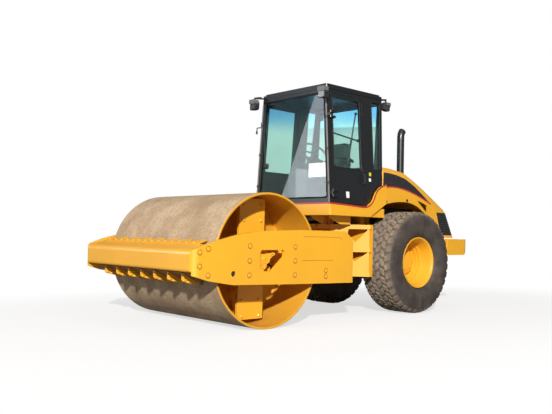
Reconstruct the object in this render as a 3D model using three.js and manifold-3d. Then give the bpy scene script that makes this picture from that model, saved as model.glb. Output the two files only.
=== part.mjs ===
// Single-drum vibratory soil compactor: a smooth drum in a bolted yoke, an articulated and
// oscillating hitch, and a rear frame that carries the cab, the engine hood and two drive wheels.
// Millimetres. +X is forward, +Y is the machine's left, +Z is up. The rear frame's sizes are X and
// Z places, counted from a point 1500 mm ahead of the hitch pin on the ground. The drum stands
// ahead of the yoke's rear beam, and the group is moved so that the origin lies under the middle.
import * as THREE from "three";
import { mergeVertices } from "three/addons/utils/BufferGeometryUtils.js";
import Module from "manifold-3d";

const wasm = await Module();
wasm.setup();

// ---------- driving dimensions ----------
const seat = 0.3; // gap between faces that touch
const running = 0.5; // radial gap of a shaft in its bore
const swing = 6; // gap round a door or hood edge
const rearEnd = -4415; // rear face of the counterweight

const drum = { radius: 767, width: 2134, shell: 25, headInset: 600, headPlate: 30, sides: 40 };
const yoke = { gap: 43, plate: 40, rearEdge: -1330, bottom: 488, top: 1120 };
const frontBeam = {
  gap: 103, depth: 225, bottom: 655, top: 945, slope: 65, wall: 20, cornerRadius: 80,
};
const scraper = { plate: 16, teeth: 7, sideInset: 112, tipShare: 0.06, gap: 18 };
const lowerTeeth = { back: 95, slope: -28.9, depth: 150, lean: 0.5 };
const upperTeeth = { back: 170, depth: 90, lean: 0.85 };
const rearBeam = { rear: -1250, front: -1060, gap: 293, bottom: 560, top: 1010, wall: 25 };
const support = { halfLength: 190, bottom: 60, belowTop: 64, plate: 40, gap: 260, journal: 90 };
const hitch = { pivotX: -1500, hub: 90, pin: 45, axisZ: 750, journal: 110, horn: 34 };
const nose = { rear: -2130, halfWidth: 800, cornerX: -1700, cornerY: 400, earRadius: 100 };
const flange = { top: 1220, topPlate: 60, middle: 910, lower: 580, plate: 60 };
const foothold = { front: 18, upperDrop: 175, lowerDrop: 125 };
const steering = {
  barrelX: -2020, barrelY: 340, eyeX: -1390, eyeY: 260, z: 680,
  barrel: 45, rod: 25, pin: 20, barrelEnd: 415, boreStart: 62, rodLength: 405,
};
const chassis = { halfWidth: 430, plate: 30, rear: -3850, bottom: 480, top: 1240 };
const deck = {
  front: -1290, rear: -2430, halfWidth: 780, bottom: 1330, top: 1450, cheekTop: 1790,
  tuckX: -2120, tuckZ: 1520,
};
const cab = {
  front: -1340, rearBottom: -2400, rearTop: -2476, top: 3000,
  halfBottom: 736, halfTop: 626, wall: 45, glassInset: 15, glass: 6,
};
const roof = { thickness: 70, overhang: 8, chamfer: 24 };
const door = { front: -1390, rear: -2035, bottom: 1485, top: 2950, corner: 40, stile: 48, beltZ: 1965 };
const quarter = { front: -2235, rear: -2380, rearTop: -2428, bottom: 1985, top: 2945 };
const windshield = { margin: 50, bottom: 1560, top: 2950 };
const rearWindow = { halfWidth: 575, bottom: 2030, top: 2930 };
const hinge = { x: -1376, stand: 24, pin: 8, knuckle: 14, height: 40, lowZ: 1620, highZ: 2660 };
const hood = {
  front: -2455, halfWidth: 700, shoulder: 130, shell: 22, hingeX: -2550, hingeZ: 2000, pin: 15,
};
const arch = { centreX: -2950, centreZ: 700, radius: 875 };
const grille = { frontTop: -3740, frontBottom: -3860, bottom: 1110, top: 1455 };
const ballast = { front: -3850, halfWidth: 830, bottom: 810, top: 1055, corner: 110, chamfer: 70 };
const tyre = { radius: 715, inner: 500, outer: 1050, bead: 331 };
const axle = { x: -2900, z: tyre.radius, tube: 100, flange: 150, flangeY: 684, spindle: 60 };
const wheelSides = 32; // facets round a rim and its tyre
const rim = { flange: 357, flangePlate: 15, lip: 560, outerLip: 1000, barrel: 13, discY: 690, disc: 25 };
const engine = { front: -2750, rear: -3650, halfWidth: 300, bottom: 870, top: 1500 };
const stack = { x: -3350, y: 300, radius: 57, top: 2715 };
const driver = { seatX: -2130, cushionTop: 1990, width: 500, backTop: 2440 };

// ---------- materials ----------
function finish(color, roughness, metalness = 0) {
  return new THREE.MeshStandardMaterial({ color, roughness, metalness });
}
const yellow = finish(0xf9b52e, 0.45);
const black = finish(0x262a2f, 0.5);
const steel = finish(0xb9a088, 0.75, 0.3);
const darkSteel = finish(0x3a3a3a, 0.6, 0.4);
const chrome = finish(0xd8d8d8, 0.2, 1);
const rubber = finish(0x5f5851, 0.95);
const greenGlass = finish(0x8fc7bd, 0.05);
const greyFabric = finish(0x4a5250, 0.9);

// ---------- solids ----------
// A closed geometry as a solid that faces outwards, whichever way its profile runs.
function solid(geometry) {
  const bare = geometry.clone();
  bare.deleteAttribute("normal");
  bare.deleteAttribute("uv");
  const merged = mergeVertices(bare, 1e-3);
  const index = Array.from(merged.index.array);
  const corners = [];
  for (let i = 0; i < index.length; i += 3) {
    const [a, b, c] = index.slice(i, i + 3);
    if (a !== b && b !== c && c !== a) corners.push(a, b, c);
  }
  const build = (list) =>
    new wasm.Manifold(
      new wasm.Mesh({
        numProp: 3,
        vertProperties: new Float32Array(merged.attributes.position.array),
        triVerts: new Uint32Array(list),
      }),
    );
  const made = build(corners);
  return made.volume() < 0 ? build(corners.reverse()) : made;
}

function join(...parts) {
  return parts.reduce((a, b) => a.add(b));
}

function cut(from, ...tools) {
  return tools.reduce((a, b) => a.subtract(b), from);
}

function box(x0, x1, y0, y1, z0, z1) {
  const g = new THREE.BoxGeometry(Math.abs(x1 - x0), Math.abs(y1 - y0), Math.abs(z1 - z0));
  return solid(g.translate((x0 + x1) / 2, (y0 + y1) / 2, (z0 + z1) / 2));
}

// A round bar between two points.
function rod(from, to, radius, sides = 16, endRadius = radius, phase = 0) {
  const a = new THREE.Vector3(...from);
  const b = new THREE.Vector3(...to);
  const g = new THREE.CylinderGeometry(endRadius, radius, a.distanceTo(b), sides, 1, false, phase);
  const turn = new THREE.Quaternion().setFromUnitVectors(
    new THREE.Vector3(0, 1, 0),
    b.clone().sub(a).normalize(),
  );
  g.applyQuaternion(turn);
  const middle = a.add(b).multiplyScalar(0.5);
  return solid(g.translate(middle.x, middle.y, middle.z));
}

// The hole that a bar of this radius turns in: its facets stay clear of the bar's edges, and at
// rest the middle of each facet faces an edge.
function boreFor(from, to, radius, sides = 16) {
  const half = Math.PI / sides;
  const clear = (radius + running) / Math.cos(half);
  return rod(from, to, clear, sides, clear, half);
}

// An outline with its corners rounded, as a closed shape. Each point is [u, v] or [u, v, radius].
function outline(points, radius = 0) {
  const at = (i) => points[(i + points.length) % points.length];
  const shape = new THREE.Shape();
  points.forEach(([u, v, own], i) => {
    const r = own ?? radius;
    const here = new THREE.Vector2(u, v);
    const before = new THREE.Vector2(...at(i - 1).slice(0, 2)).sub(here);
    const after = new THREE.Vector2(...at(i + 1).slice(0, 2)).sub(here);
    const halfAngle = Math.acos(before.clone().normalize().dot(after.clone().normalize())) / 2;
    const back = Math.min(r / Math.tan(halfAngle), 0.49 * before.length(), 0.49 * after.length());
    const start = here.clone().add(before.setLength(back));
    const end = here.clone().add(after.setLength(back));
    if (i === 0) shape.moveTo(start.x, start.y);
    else shape.lineTo(start.x, start.y);
    if (back > 0.01) shape.quadraticCurveTo(u, v, end.x, end.y);
  });
  shape.closePath();
  return shape;
}

const directions = {
  x: new THREE.Matrix4().makeBasis(
    new THREE.Vector3(0, 1, 0), new THREE.Vector3(0, 0, 1), new THREE.Vector3(1, 0, 0)),
  y: new THREE.Matrix4().makeBasis(
    new THREE.Vector3(1, 0, 0), new THREE.Vector3(0, 0, 1), new THREE.Vector3(0, -1, 0)),
  z: new THREE.Matrix4(),
};

// A shape pushed along one axis from a low value to a high one. The shape's own plane is (Y, Z)
// for x, (X, Z) for y and (X, Y) for z.
function prism(shape, axis, low, high, curveSegments = 4) {
  const g = new THREE.ExtrudeGeometry(shape, {
    depth: high - low, bevelEnabled: false, curveSegments,
  });
  g.applyMatrix4(directions[axis]);
  const start = axis === "y" ? high : low;
  return solid(g.translate(axis === "x" ? start : 0, axis === "y" ? start : 0, axis === "z" ? start : 0));
}

// A turned piece about a line along Y through (x, z). The profile holds [radius, y] pairs, and
// the middle of each facet lies on that radius, with one facet facing straight down.
function turned(profile, x, z, sides) {
  const half = Math.PI / sides;
  const points = profile.map(([r, y]) => new THREE.Vector2(r / Math.cos(half), y));
  return solid(new THREE.LatheGeometry(points, sides, half).translate(x, 0, z));
}

const machine = new THREE.Group();

function place(name, made, material) {
  const mesh = made.getMesh();
  const g = new THREE.BufferGeometry();
  g.setAttribute("position", new THREE.BufferAttribute(new Float32Array(mesh.vertProperties), 3));
  g.setIndex(new THREE.BufferAttribute(new Uint32Array(mesh.triVerts), 1));
  g.computeVertexNormals();
  const piece = new THREE.Mesh(g, material);
  piece.name = name;
  machine.add(piece);
  return piece;
}

const sides = [["left", 1], ["right", -1]];

// ---------- drum ----------
const drumHalf = drum.width / 2;
const headOuterY = drumHalf - drum.headInset;
const drumX = rearBeam.front + rearBeam.gap + drum.radius;
const drumFront = drumX + drum.radius;

function drumShell() {
  const inner = drum.radius - drum.shell;
  const profile = [
    [drum.radius, -drumHalf], [drum.radius, drumHalf], [inner, drumHalf], [inner, -drumHalf],
    [drum.radius, -drumHalf],
  ];
  return turned(profile, drumX, drum.radius, drum.sides);
}

// A bulkhead with a hub that runs on the support's journal.
function drumHead(side) {
  const rimRadius = drum.radius - drum.shell - seat;
  const bore = support.journal + running;
  const hub = support.journal + 90;
  const hubY = headOuterY + 30;
  const innerY = headOuterY - drum.headPlate;
  const profile = [
    [bore, innerY], [rimRadius, innerY], [rimRadius, headOuterY], [hub, headOuterY],
    [hub - 20, hubY], [bore, hubY], [bore, innerY],
  ].map(([r, y]) => [r, side * y]);
  return turned(profile, drumX, drum.radius, drum.sides);
}

// ---------- front yoke ----------
const plateInner = drumHalf + yoke.gap;
const beamRear = drumFront + frontBeam.gap;
const frontEnd = beamRear + frontBeam.depth;
const boltColumns = [345, -335];

// What is cut off the yoke's upright front corners to round them in plan.
function cornerTool(side) {
  const r = frontBeam.cornerRadius;
  const [x, y] = [frontEnd - r, side * (plateInner + yoke.plate - r)];
  return cut(
    box(x, frontEnd + 5, y, side * (plateInner + yoke.plate + 5), 0, 2000),
    rod([x, y, -5], [x, y, 2005], r, 48),
  );
}

function sidePlate(side) {
  const edge = outline([
    [frontEnd, 625, 12], [frontEnd, 880, 25], [frontEnd - 209, 959, 120], [drumX + 530, 1047, 200],
    [drumX + 180, 1096, 200], [drumX - 400, yoke.top, 120], [-1180, yoke.top, 40],
    [rearBeam.rear, 1076, 20], [yoke.rearEdge, 1000, 20], [yoke.rearEdge, yoke.bottom, 10],
    [drumX - 420, 498, 100], [drumX + 570, 516, 150], [frontEnd - 195, 567, 80],
  ]);
  const window = outline([
    [drumX + 195, 888], [drumX - 172, 889], [drumX - 166, 815], [drumX + 20, 655], [drumX + 188, 650],
  ], 38);
  const low = side > 0 ? plateInner : -plateInner - yoke.plate;
  const high = low + yoke.plate;
  const holeX = drumX + 566;
  return cut(
    prism(edge, "y", low, high, 3),
    prism(window, "y", low - 5, high + 5, 3),
    rod([holeX, low - 5, 634], [holeX, high + 5, 634], 31, 16),
    cornerTool(side),
  );
}

function frontBeamTube() {
  const w = frontBeam.wall;
  const outer = outline([
    [beamRear, frontBeam.bottom], [frontEnd, frontBeam.bottom, 30],
    [frontEnd, frontBeam.top - frontBeam.slope, 55], [beamRear, frontBeam.top],
  ], 8);
  const inner = outline([
    [beamRear + w, frontBeam.bottom + w], [frontEnd - w, frontBeam.bottom + w],
    [frontEnd - w, frontBeam.top - frontBeam.slope - w - 10], [beamRear + w, frontBeam.top - w - 6],
  ], 4);
  const end = plateInner - seat;
  const corners = sides.map(([, side]) => cornerTool(side));
  return cut(prism(outer, "y", -end, end, 3), prism(inner, "y", -end - 5, end + 5, 2), ...corners);
}

// How far a line from (x, z) runs back at a slope before it meets the drum, less the scraper's gap.
function reachToDrum(x, z, slope) {
  const away = new THREE.Vector2(x - drumX, z - drum.radius);
  const along = away.dot(slope);
  const radius = drum.radius / Math.cos(Math.PI / drum.sides) + scraper.gap;
  return -along - Math.sqrt(along * along - away.lengthSq() + radius * radius);
}

// A toothed strip that runs back from its mounting edge (x, z) to the drum, at a slope in radians.
function scraperStrip(edgeX, edgeZ, angle, { depth, lean }) {
  const half = drumHalf - scraper.sideInset;
  const slope = new THREE.Vector3(-Math.cos(angle), 0, Math.sin(angle));
  const reach = reachToDrum(edgeX, edgeZ, new THREE.Vector2(slope.x, slope.z));
  const pitch = (2 * half) / scraper.teeth;
  const root = reach - depth;
  const points = [[-half, 0], [half, 0], [half, root]];
  for (let i = scraper.teeth - 1; i >= 0; i -= 1) {
    const y = -half + i * pitch;
    const tip = y + lean * pitch;
    const halfTip = scraper.tipShare * pitch;
    points.push([y + 0.98 * pitch, root], [tip + halfTip, reach]);
    points.push([tip - halfTip, reach], [y + 0.04 * pitch, root]);
  }
  points.push([-half, root]);
  const across = new THREE.Vector3(0, 1, 0);
  const normal = new THREE.Vector3().crossVectors(across, slope);
  const g = new THREE.ExtrudeGeometry(outline(points), { depth: scraper.plate, bevelEnabled: false });
  g.applyMatrix4(new THREE.Matrix4().makeBasis(across, slope, normal));
  return solid(g.translate(edgeX, 0, edgeZ));
}

// The lower strip hangs from the beam's underside, the upper one lies on its sloped top.
function lowerScraper() {
  const angle = THREE.MathUtils.degToRad(lowerTeeth.slope);
  const thickness = scraper.plate * Math.cos(angle);
  return scraperStrip(frontEnd - lowerTeeth.back, frontBeam.bottom - seat - thickness, angle, lowerTeeth);
}

function upperScraper() {
  const angle = Math.atan2(frontBeam.slope, frontBeam.depth);
  const fromRear = frontBeam.depth - upperTeeth.back;
  const edgeZ = frontBeam.top - fromRear * Math.tan(angle) + seat / Math.cos(angle);
  return scraperStrip(frontEnd - upperTeeth.back, edgeZ, angle, upperTeeth);
}

function rearBeamTube() {
  const end = plateInner - seat;
  const w = rearBeam.wall;
  const tube = cut(
    box(rearBeam.rear, rearBeam.front, -end, end, rearBeam.bottom, rearBeam.top),
    box(rearBeam.rear + w, rearBeam.front - w, -end - 5, end + 5, rearBeam.bottom + w, rearBeam.top - w),
  );
  const sleeve = rod([rearBeam.rear - 10, 0, hitch.axisZ], [rearBeam.front, 0, hitch.axisZ], 165, 24);
  const bore = boreFor(
    [rearBeam.rear - 30, 0, hitch.axisZ], [rearBeam.front + 30, 0, hitch.axisZ], hitch.journal, 24);
  return cut(join(tube, sleeve), bore);
}

// The post inside a drum end: it carries the drum on its journal and bolts to the side plate.
function drumSupport(side) {
  const inner = headOuterY + support.gap;
  const outer = inner + support.plate;
  const top = 2 * drum.radius - support.belowTop;
  const post = outline([
    [drumX - support.halfLength, support.bottom + 22], [drumX + support.halfLength, support.bottom + 22],
    [drumX + support.halfLength, top], [drumX - support.halfLength, top],
  ], 14);
  const low = side > 0 ? inner : -outer;
  const onAxle = (y) => [drumX, side * y, drum.radius];
  const parts = [
    prism(post, "y", low, low + support.plate, 3),
    rod(onAxle(headOuterY - 20), onAxle(inner), support.journal, 24),
    rod(onAxle(outer), onAxle(outer + 150), 125, 16),
  ];
  const reachY = plateInner - seat;
  for (const column of boltColumns) {
    const outward = Math.sign(column);
    const x = drumX + column;
    const innerX = drumX + outward * (support.halfLength - 60);
    parts.push(box(innerX, x + outward * 60, side * outer, side * (outer + 25), 570, 965));
    parts.push(box(x - 40, x + 40, side * outer, side * reachY, 690, 845));
    parts.push(box(x - 55, x + 55, side * (reachY - 20), side * reachY, 570, 965));
  }
  const below = box(drumX - 2000, drumX + 2000, side * (inner - 1), side * (outer + 400), -50, support.bottom);
  return cut(join(...parts), below);
}

// ---------- hitch ----------
function hitchLink() {
  const { pivotX, hub, pin, axisZ, journal, horn } = hitch;
  const low = flange.lower + 8;
  const high = flange.top - flange.topPlate - 8;
  const boxFront = rearBeam.rear - 45;
  const parts = [
    rod([pivotX, 0, low], [pivotX, 0, high], hub, 20),
    rod([pivotX, 0, flange.lower - flange.plate - 10], [pivotX, 0, flange.top + 14], pin, 16),
    box(pivotX, boxFront, -110, 110, axisZ - 150, axisZ + 150),
    rod([boxFront - 10, 0, axisZ], [rearBeam.front + 45, 0, axisZ], journal, 24),
    rod([rearBeam.front + 15, 0, axisZ], [rearBeam.front + 45, 0, axisZ], journal + 45, 20),
  ];
  const hornTop = steering.z - steering.barrel - swing;
  for (const [, side] of sides) {
    const arm = outline([
      [pivotX - 40, side * 40], [pivotX + 120, side * 40],
      [steering.eyeX + 42, side * (steering.eyeY + 42)],
      [steering.eyeX - 42, side * (steering.eyeY + 42)],
    ], 30);
    parts.push(prism(arm, "z", hornTop - horn, hornTop, 3));
  }
  return join(...parts);
}

// The rear frame's front end: three flanges, tied by slanted step faces and a rear wall.
function hitchNose() {
  const plan = (inset) => outline([
    [nose.rear, -nose.halfWidth + inset], [nose.rear, nose.halfWidth - inset],
    [nose.rear + 60, nose.halfWidth - inset], [nose.cornerX - inset, nose.cornerY, 40],
    [hitch.pivotX - 90, 150, 30], [hitch.pivotX + nose.earRadius, 75, 60],
    [hitch.pivotX + nose.earRadius, -75, 60], [hitch.pivotX - 90, -150, 30],
    [nose.cornerX - inset, -nose.cornerY, 40], [nose.rear + 60, -nose.halfWidth + inset],
  ]);
  const levels = [[flange.top, flange.topPlate], [flange.lower, flange.plate]];
  const parts = levels.map(([top, plate]) => prism(plan(0), "z", top - plate, top, 3));
  const shelf = cut(
    prism(plan(0), "z", flange.middle - flange.plate, flange.middle, 3),
    box(nose.cornerX - 60, 0, -nose.halfWidth, nose.halfWidth, 0, 2000),
  );
  parts.push(shelf);
  const [low, high] = [flange.lower - 30, flange.top - 30];
  parts.push(box(nose.rear, nose.rear + 30, -nose.halfWidth, nose.halfWidth, low, high));
  for (const [, side] of sides) parts.push(stepFace(side));
  for (const [, side] of sides) {
    const { barrelX, barrelY, pin } = steering;
    const at = (z) => [barrelX, side * barrelY, z];
    parts.push(rod(at(flange.lower - 20), at(flange.middle - 20), pin));
  }
  const bore = boreFor([hitch.pivotX, 0, 0], [hitch.pivotX, 0, 2000], hitch.pin);
  return cut(join(...parts), bore);
}

// The slanted face between the flanges, with a three-cornered foothold under each upper flange.
function stepFace(side) {
  const start = new THREE.Vector2(nose.rear + 60, nose.halfWidth - 12);
  const end = new THREE.Vector2(nose.cornerX - 8, nose.cornerY + 4);
  const length = start.distanceTo(end);
  const wall = outline([
    [0, flange.lower - 40], [length, flange.lower - 40], [length, flange.top - 20], [0, flange.top - 20],
  ]);
  const toeHole = (top, drop) => {
    const hole = new THREE.Path();
    hole.moveTo(foothold.front, top);
    hole.lineTo(length * 0.36, top - drop);
    hole.lineTo(length * 0.54, top - 0.45 * drop);
    hole.quadraticCurveTo(length * 0.58, top - 0.2 * drop, length * 0.52, top);
    hole.closePath();
    return hole;
  };
  wall.holes.push(toeHole(flange.top - flange.topPlate - 2, foothold.upperDrop));
  wall.holes.push(toeHole(flange.middle - flange.plate - 2, foothold.lowerDrop));
  const along = new THREE.Vector3(end.x - start.x, side * (end.y - start.y), 0).normalize();
  const up = new THREE.Vector3(0, 0, 1);
  const g = new THREE.ExtrudeGeometry(wall, { depth: 24, bevelEnabled: false, curveSegments: 4 });
  g.applyMatrix4(new THREE.Matrix4().makeBasis(along, up, new THREE.Vector3().crossVectors(along, up)));
  const inward = side > 0 ? 0 : 24;
  const normal = new THREE.Vector3().crossVectors(along, up).multiplyScalar(-inward);
  return solid(g.translate(start.x + normal.x, side * start.y + normal.y, 0));
}

// ---------- steering cylinders ----------
const strokeSpan = Math.hypot(steering.eyeX - steering.barrelX, steering.eyeY - steering.barrelY);

function alongCylinder(side, distance) {
  const share = distance / strokeSpan;
  return [
    steering.barrelX + share * (steering.eyeX - steering.barrelX),
    side * (steering.barrelY + share * (steering.eyeY - steering.barrelY)),
    steering.z,
  ];
}

function steeringBarrel(side) {
  const [x, y] = [steering.barrelX, side * steering.barrelY];
  const eye = rod([x, y, steering.z - 42], [x, y, steering.z + 42], 48, 16);
  const tube = rod(alongCylinder(side, 20), alongCylinder(side, steering.barrelEnd), steering.barrel, 16);
  const pinBore = boreFor([x, y, 0], [x, y, 2000], steering.pin);
  const rodBore = boreFor(
    alongCylinder(side, steering.boreStart), alongCylinder(side, steering.barrelEnd + 50), steering.rod);
  return cut(join(eye, tube), pinBore, rodBore);
}

function steeringRod(side) {
  const [x, y] = [steering.eyeX, side * steering.eyeY];
  return join(
    rod(
      alongCylinder(side, strokeSpan - steering.rodLength), alongCylinder(side, strokeSpan - 10),
      steering.rod, 16,
    ),
    rod([x, y, steering.z - steering.barrel], [x, y, steering.z + 30], 40, 16),
    rod([x, y, steering.z + 29], [x, y, steering.z + 44], 26, 6),
  );
}

// ---------- rear frame ----------
const chassisFront = nose.rear - seat;

function rearFrame() {
  const { halfWidth, plate, rear, bottom, top } = chassis;
  const profile = outline([
    [chassisFront, bottom + 30], [chassisFront, 1180], [chassisFront - 120, top], [rear + seat, top],
    [rear + seat, ballast.bottom - 40], [rear + 260, bottom + 160], [axle.x - 260, bottom],
  ]);
  const saddle = box(axle.x - 150, axle.x + 150, -600, 600, 0, axle.z + 115);
  const parts = sides.map(([, side]) => {
    const low = side > 0 ? halfWidth - plate : -halfWidth;
    return prism(profile, "y", low, low + plate);
  });
  const inner = halfWidth - plate / 2;
  parts.push(box(chassisFront - 30, chassisFront, -inner, inner, bottom + 60, 1150));
  parts.push(box(rear + seat, rear + 30, -inner, inner, ballast.bottom, 1120));
  for (const x of [axle.x - 230, engine.rear + 120]) {
    parts.push(box(x - 60, x + 60, -inner, inner, engine.bottom - 90, engine.bottom - seat));
  }
  for (const [, side] of sides) {
    const x = deck.rear + 90;
    parts.push(box(x - 45, x + 45, side * (inner - 60), side * (inner + 15), top - 40, deck.bottom - seat));
  }
  parts.push(...firewall());
  return cut(join(...parts), saddle);
}

// The wall behind the cab, with the lugs and the pin that the hood tilts on. The lugs fall away
// towards the wall, to leave room for the hood's front edge when it is raised.
function firewall() {
  const { front, hingeX, hingeZ, pin } = hood;
  const face = front - 15;
  const wallTop = hingeZ - 100;
  const lug = outline([
    [hingeX - pin, hingeZ - 20], [hingeX - pin, hingeZ + 12], [hingeX + 12, hingeZ + 12],
    [face - 20, hingeZ - 50], [face, hingeZ - 50], [face, wallTop - 40], [face - 20, wallTop - 40],
  ]);
  const parts = [
    box(face - 20, face, -chassis.halfWidth + 5, chassis.halfWidth - 5, chassis.top - 40, wallTop),
    rod([hingeX, -330, hingeZ], [hingeX, 330, hingeZ], pin),
    prism(lug, "y", 190, 230),
    prism(lug, "y", -230, -190),
  ];
  return parts;
}

function cabDeck() {
  const { front, rear, halfWidth, bottom, top, cheekTop, tuckX, tuckZ } = deck;
  const corners = [[front, -halfWidth], [front, halfWidth], [rear, halfWidth], [rear, -halfWidth]];
  const plan = outline(corners, 30);
  const slab = prism(plan, "z", bottom, top, 3);
  const cheek = outline([
    [rear, top - 20], [door.rear + 25, top - 20],
    [door.rear - 30, top + 35, 30], [rear + 280, top + 95, 60],
    [rear + 213, top + 217, 60], [rear + 120, cheekTop - 40, 60], [rear, cheekTop],
  ]);
  const cheekInner = cab.halfBottom + 6;
  const cheeks = sides.map(([, side]) => {
    const low = side > 0 ? cheekInner : -halfWidth;
    return prism(cheek, "y", low, low + halfWidth - cheekInner, 4);
  });
  const feet = sides.map(([, side]) => box(
    nose.cornerX - 40, nose.cornerX - 140, side * 240, side * 340, flange.top + seat, bottom + 10));
  const tuck = outline([
    [tuckX, bottom + 15, 30], [rear - 50, tuckZ + 30], [rear - 50, bottom - 50], [tuckX + 40, bottom - 50],
  ]);
  const tucks = sides.map(([, side]) => {
    const low = side > 0 ? cheekInner : -halfWidth - 5;
    return prism(tuck, "y", low, low + halfWidth + 5 - cheekInner, 3);
  });
  return cut(join(slab, ...cheeks, ...feet), ...tucks);
}

function counterweight() {
  const { front, halfWidth, bottom, top, corner, chamfer } = ballast;
  const plan = outline([
    [front, -halfWidth, 10], [front, halfWidth, 10],
    [rearEnd, halfWidth, corner], [rearEnd, -halfWidth, corner],
  ]);
  const profile = outline([
    [front, bottom], [rearEnd + chamfer * 1.6, bottom, 15], [rearEnd, bottom + chamfer, 15],
    [rearEnd, top, 22], [front, top],
  ]);
  const block = prism(plan, "z", bottom, top, 4);
  return block.intersect(prism(profile, "y", -halfWidth - 5, halfWidth + 5, 3));
}

// ---------- cab ----------
const cabBase = deck.top + seat;

function cabHalf(z) {
  const share = (z - cabBase) / (cab.top - cabBase);
  return cab.halfBottom + share * (cab.halfTop - cab.halfBottom);
}

// The cab's leaning block, made smaller all round by an inset.
function cabBlock(inset, spare = 0) {
  const height = cab.top - cabBase;
  const g = new THREE.BoxGeometry(1, 1, 1);
  const p = g.attributes.position;
  for (let i = 0; i < p.count; i += 1) {
    const share = (p.getZ(i) > 0 ? height + spare : -spare) / height;
    const rear = cab.rearBottom + share * (cab.rearTop - cab.rearBottom);
    const half = cab.halfBottom + share * (cab.halfTop - cab.halfBottom);
    p.setXYZ(
      i,
      p.getX(i) > 0 ? cab.front - inset : rear + inset,
      Math.sign(p.getY(i)) * (half - inset),
      cabBase + share * height,
    );
  }
  return solid(g);
}

function sideCutter(side, area, inset, radius) {
  const shape = outline([
    [area.front - inset, area.bottom + inset], [area.front - inset, area.top - inset],
    [(area.rearTop ?? area.rear) + inset, area.top - inset], [area.rear + inset, area.bottom + inset],
  ], radius);
  return side > 0 ? prism(shape, "y", 560, 900, 3) : prism(shape, "y", -900, -560, 3);
}

function frontCutter(halfLow, halfHigh, bottom, top, inset, x0, x1) {
  const shape = outline([
    [-halfLow + inset, bottom + inset], [halfLow - inset, bottom + inset],
    [halfHigh - inset, top - inset], [-halfHigh + inset, top - inset],
  ], 40);
  return prism(shape, "x", x0, x1, 3);
}

const shieldLow = cabHalf(windshield.bottom) - windshield.margin;
const shieldHigh = cabHalf(windshield.top) - windshield.margin;

function windshieldCutter(inset) {
  return frontCutter(
    shieldLow, shieldHigh, windshield.bottom, windshield.top, inset, cab.front - 100, cab.front + 50);
}

function rearWindowCutter(inset) {
  const { halfWidth, bottom, top } = rearWindow;
  return frontCutter(halfWidth, halfWidth, bottom, top, inset, cab.rearTop - 60, cab.rearBottom + 100);
}

function glassSheet() {
  return cut(cabBlock(cab.glassInset), cabBlock(cab.glassInset + cab.glass, 20));
}

const doorGlassArea = {
  front: door.front - door.stile, rear: door.rear + door.stile,
  bottom: door.beltZ, top: door.top - door.stile,
};
const leanAngle = Math.atan((cab.halfBottom - cab.halfTop) / (cab.top - cabBase));

// Turns a solid that stands round the Z axis so that it follows the leaning hinge line.
function onHingeLine(made, side, z) {
  const turn = new THREE.Matrix4()
    .makeTranslation(hinge.x, side * (cabHalf(z) + hinge.stand), z)
    .multiply(new THREE.Matrix4().makeRotationX(side * leanAngle));
  return made.transform(turn.elements);
}

function hingeLug(side, z) {
  const block = box(-14, 22, side * 14, side * (-hinge.stand - 8), -hinge.height / 2, hinge.height / 2);
  const bore = boreFor([0, 0, -hinge.height], [0, 0, hinge.height], hinge.pin, 12);
  return onHingeLine(cut(block, bore), side, z);
}

function hingeLeaves(side, z) {
  const inner = hinge.height / 2 + 1;
  const outer = inner + 30;
  const leaf = (z0, z1) => join(
    rod([0, 0, z0], [0, 0, z1], hinge.knuckle, 12),
    box(-90, 0, side * -4, side * hinge.knuckle * 0.8, z0, z1),
    box(-90, -26, side * -4, side * (-hinge.stand - 8), z0, z1),
  );
  const pin = rod([0, 0, -outer], [0, 0, outer], hinge.pin, 12);
  const made = join(leaf(inner, outer), leaf(-outer, -inner), pin);
  return onHingeLine(made, side, z);
}

function cabFrame() {
  const tools = [cabBlock(cab.wall, 30), windshieldCutter(0), rearWindowCutter(0)];
  for (const [, side] of sides) {
    tools.push(sideCutter(side, door, 0, door.corner), sideCutter(side, quarter, 0, 24));
  }
  const walls = cut(cabBlock(0), ...tools);
  const lugs = sides.flatMap(([, side]) => [hingeLug(side, hinge.lowZ), hingeLug(side, hinge.highZ)]);
  return join(walls, ...lugs);
}

function cabDoor(side) {
  const wall = cut(cabBlock(0), cabBlock(cab.wall - 5, 30));
  const panel = cut(
    wall.intersect(sideCutter(side, door, swing, door.corner - swing)),
    sideCutter(side, doorGlassArea, 0, 30),
  );
  return join(panel, hingeLeaves(side, hinge.lowZ), hingeLeaves(side, hinge.highZ));
}

// The roof panel with a work lamp on a short arm at each corner.
function cabRoof() {
  const { overhang, thickness, chamfer } = roof;
  const low = cab.top + seat;
  const slab = (grow, z0, z1) => {
    const half = cab.halfTop + grow;
    const plan = outline([
      [cab.front + grow, -half], [cab.front + grow, half],
      [cab.rearTop - grow, half], [cab.rearTop - grow, -half],
    ], 35);
    return prism(plan, "z", z0, z1, 3);
  };
  const parts = [
    slab(overhang, low, low + thickness - chamfer),
    slab(overhang - chamfer, low + thickness - chamfer - 1, low + thickness),
  ];
  for (const [, side] of sides) {
    const z = low - 70;
    for (const [x, reach, outward] of [[cab.front, 115, 60], [cab.rearTop, -60, 25]]) {
      const lampX = x + reach;
      const lampY = side * (cab.halfTop + outward);
      const root = [x - Math.sign(reach) * 30, side * (cab.halfTop - 30), low + 13];
      const [first, last] = reach > 0 ? [42, 50] : [50, 42];
      parts.push(rod(root, [lampX, lampY, low + 13], 12, 8));
      parts.push(rod([lampX, lampY, low + 24], [lampX, lampY, z], 12, 8));
      parts.push(rod([lampX - 45, lampY, z], [lampX + 45, lampY, z], first, 12, last));
    }
  }
  return join(...parts);
}

function cabGlass(area) {
  return glassSheet().intersect(area);
}

// ---------- driver's place ----------
const floorZ = deck.top + seat;

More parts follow.
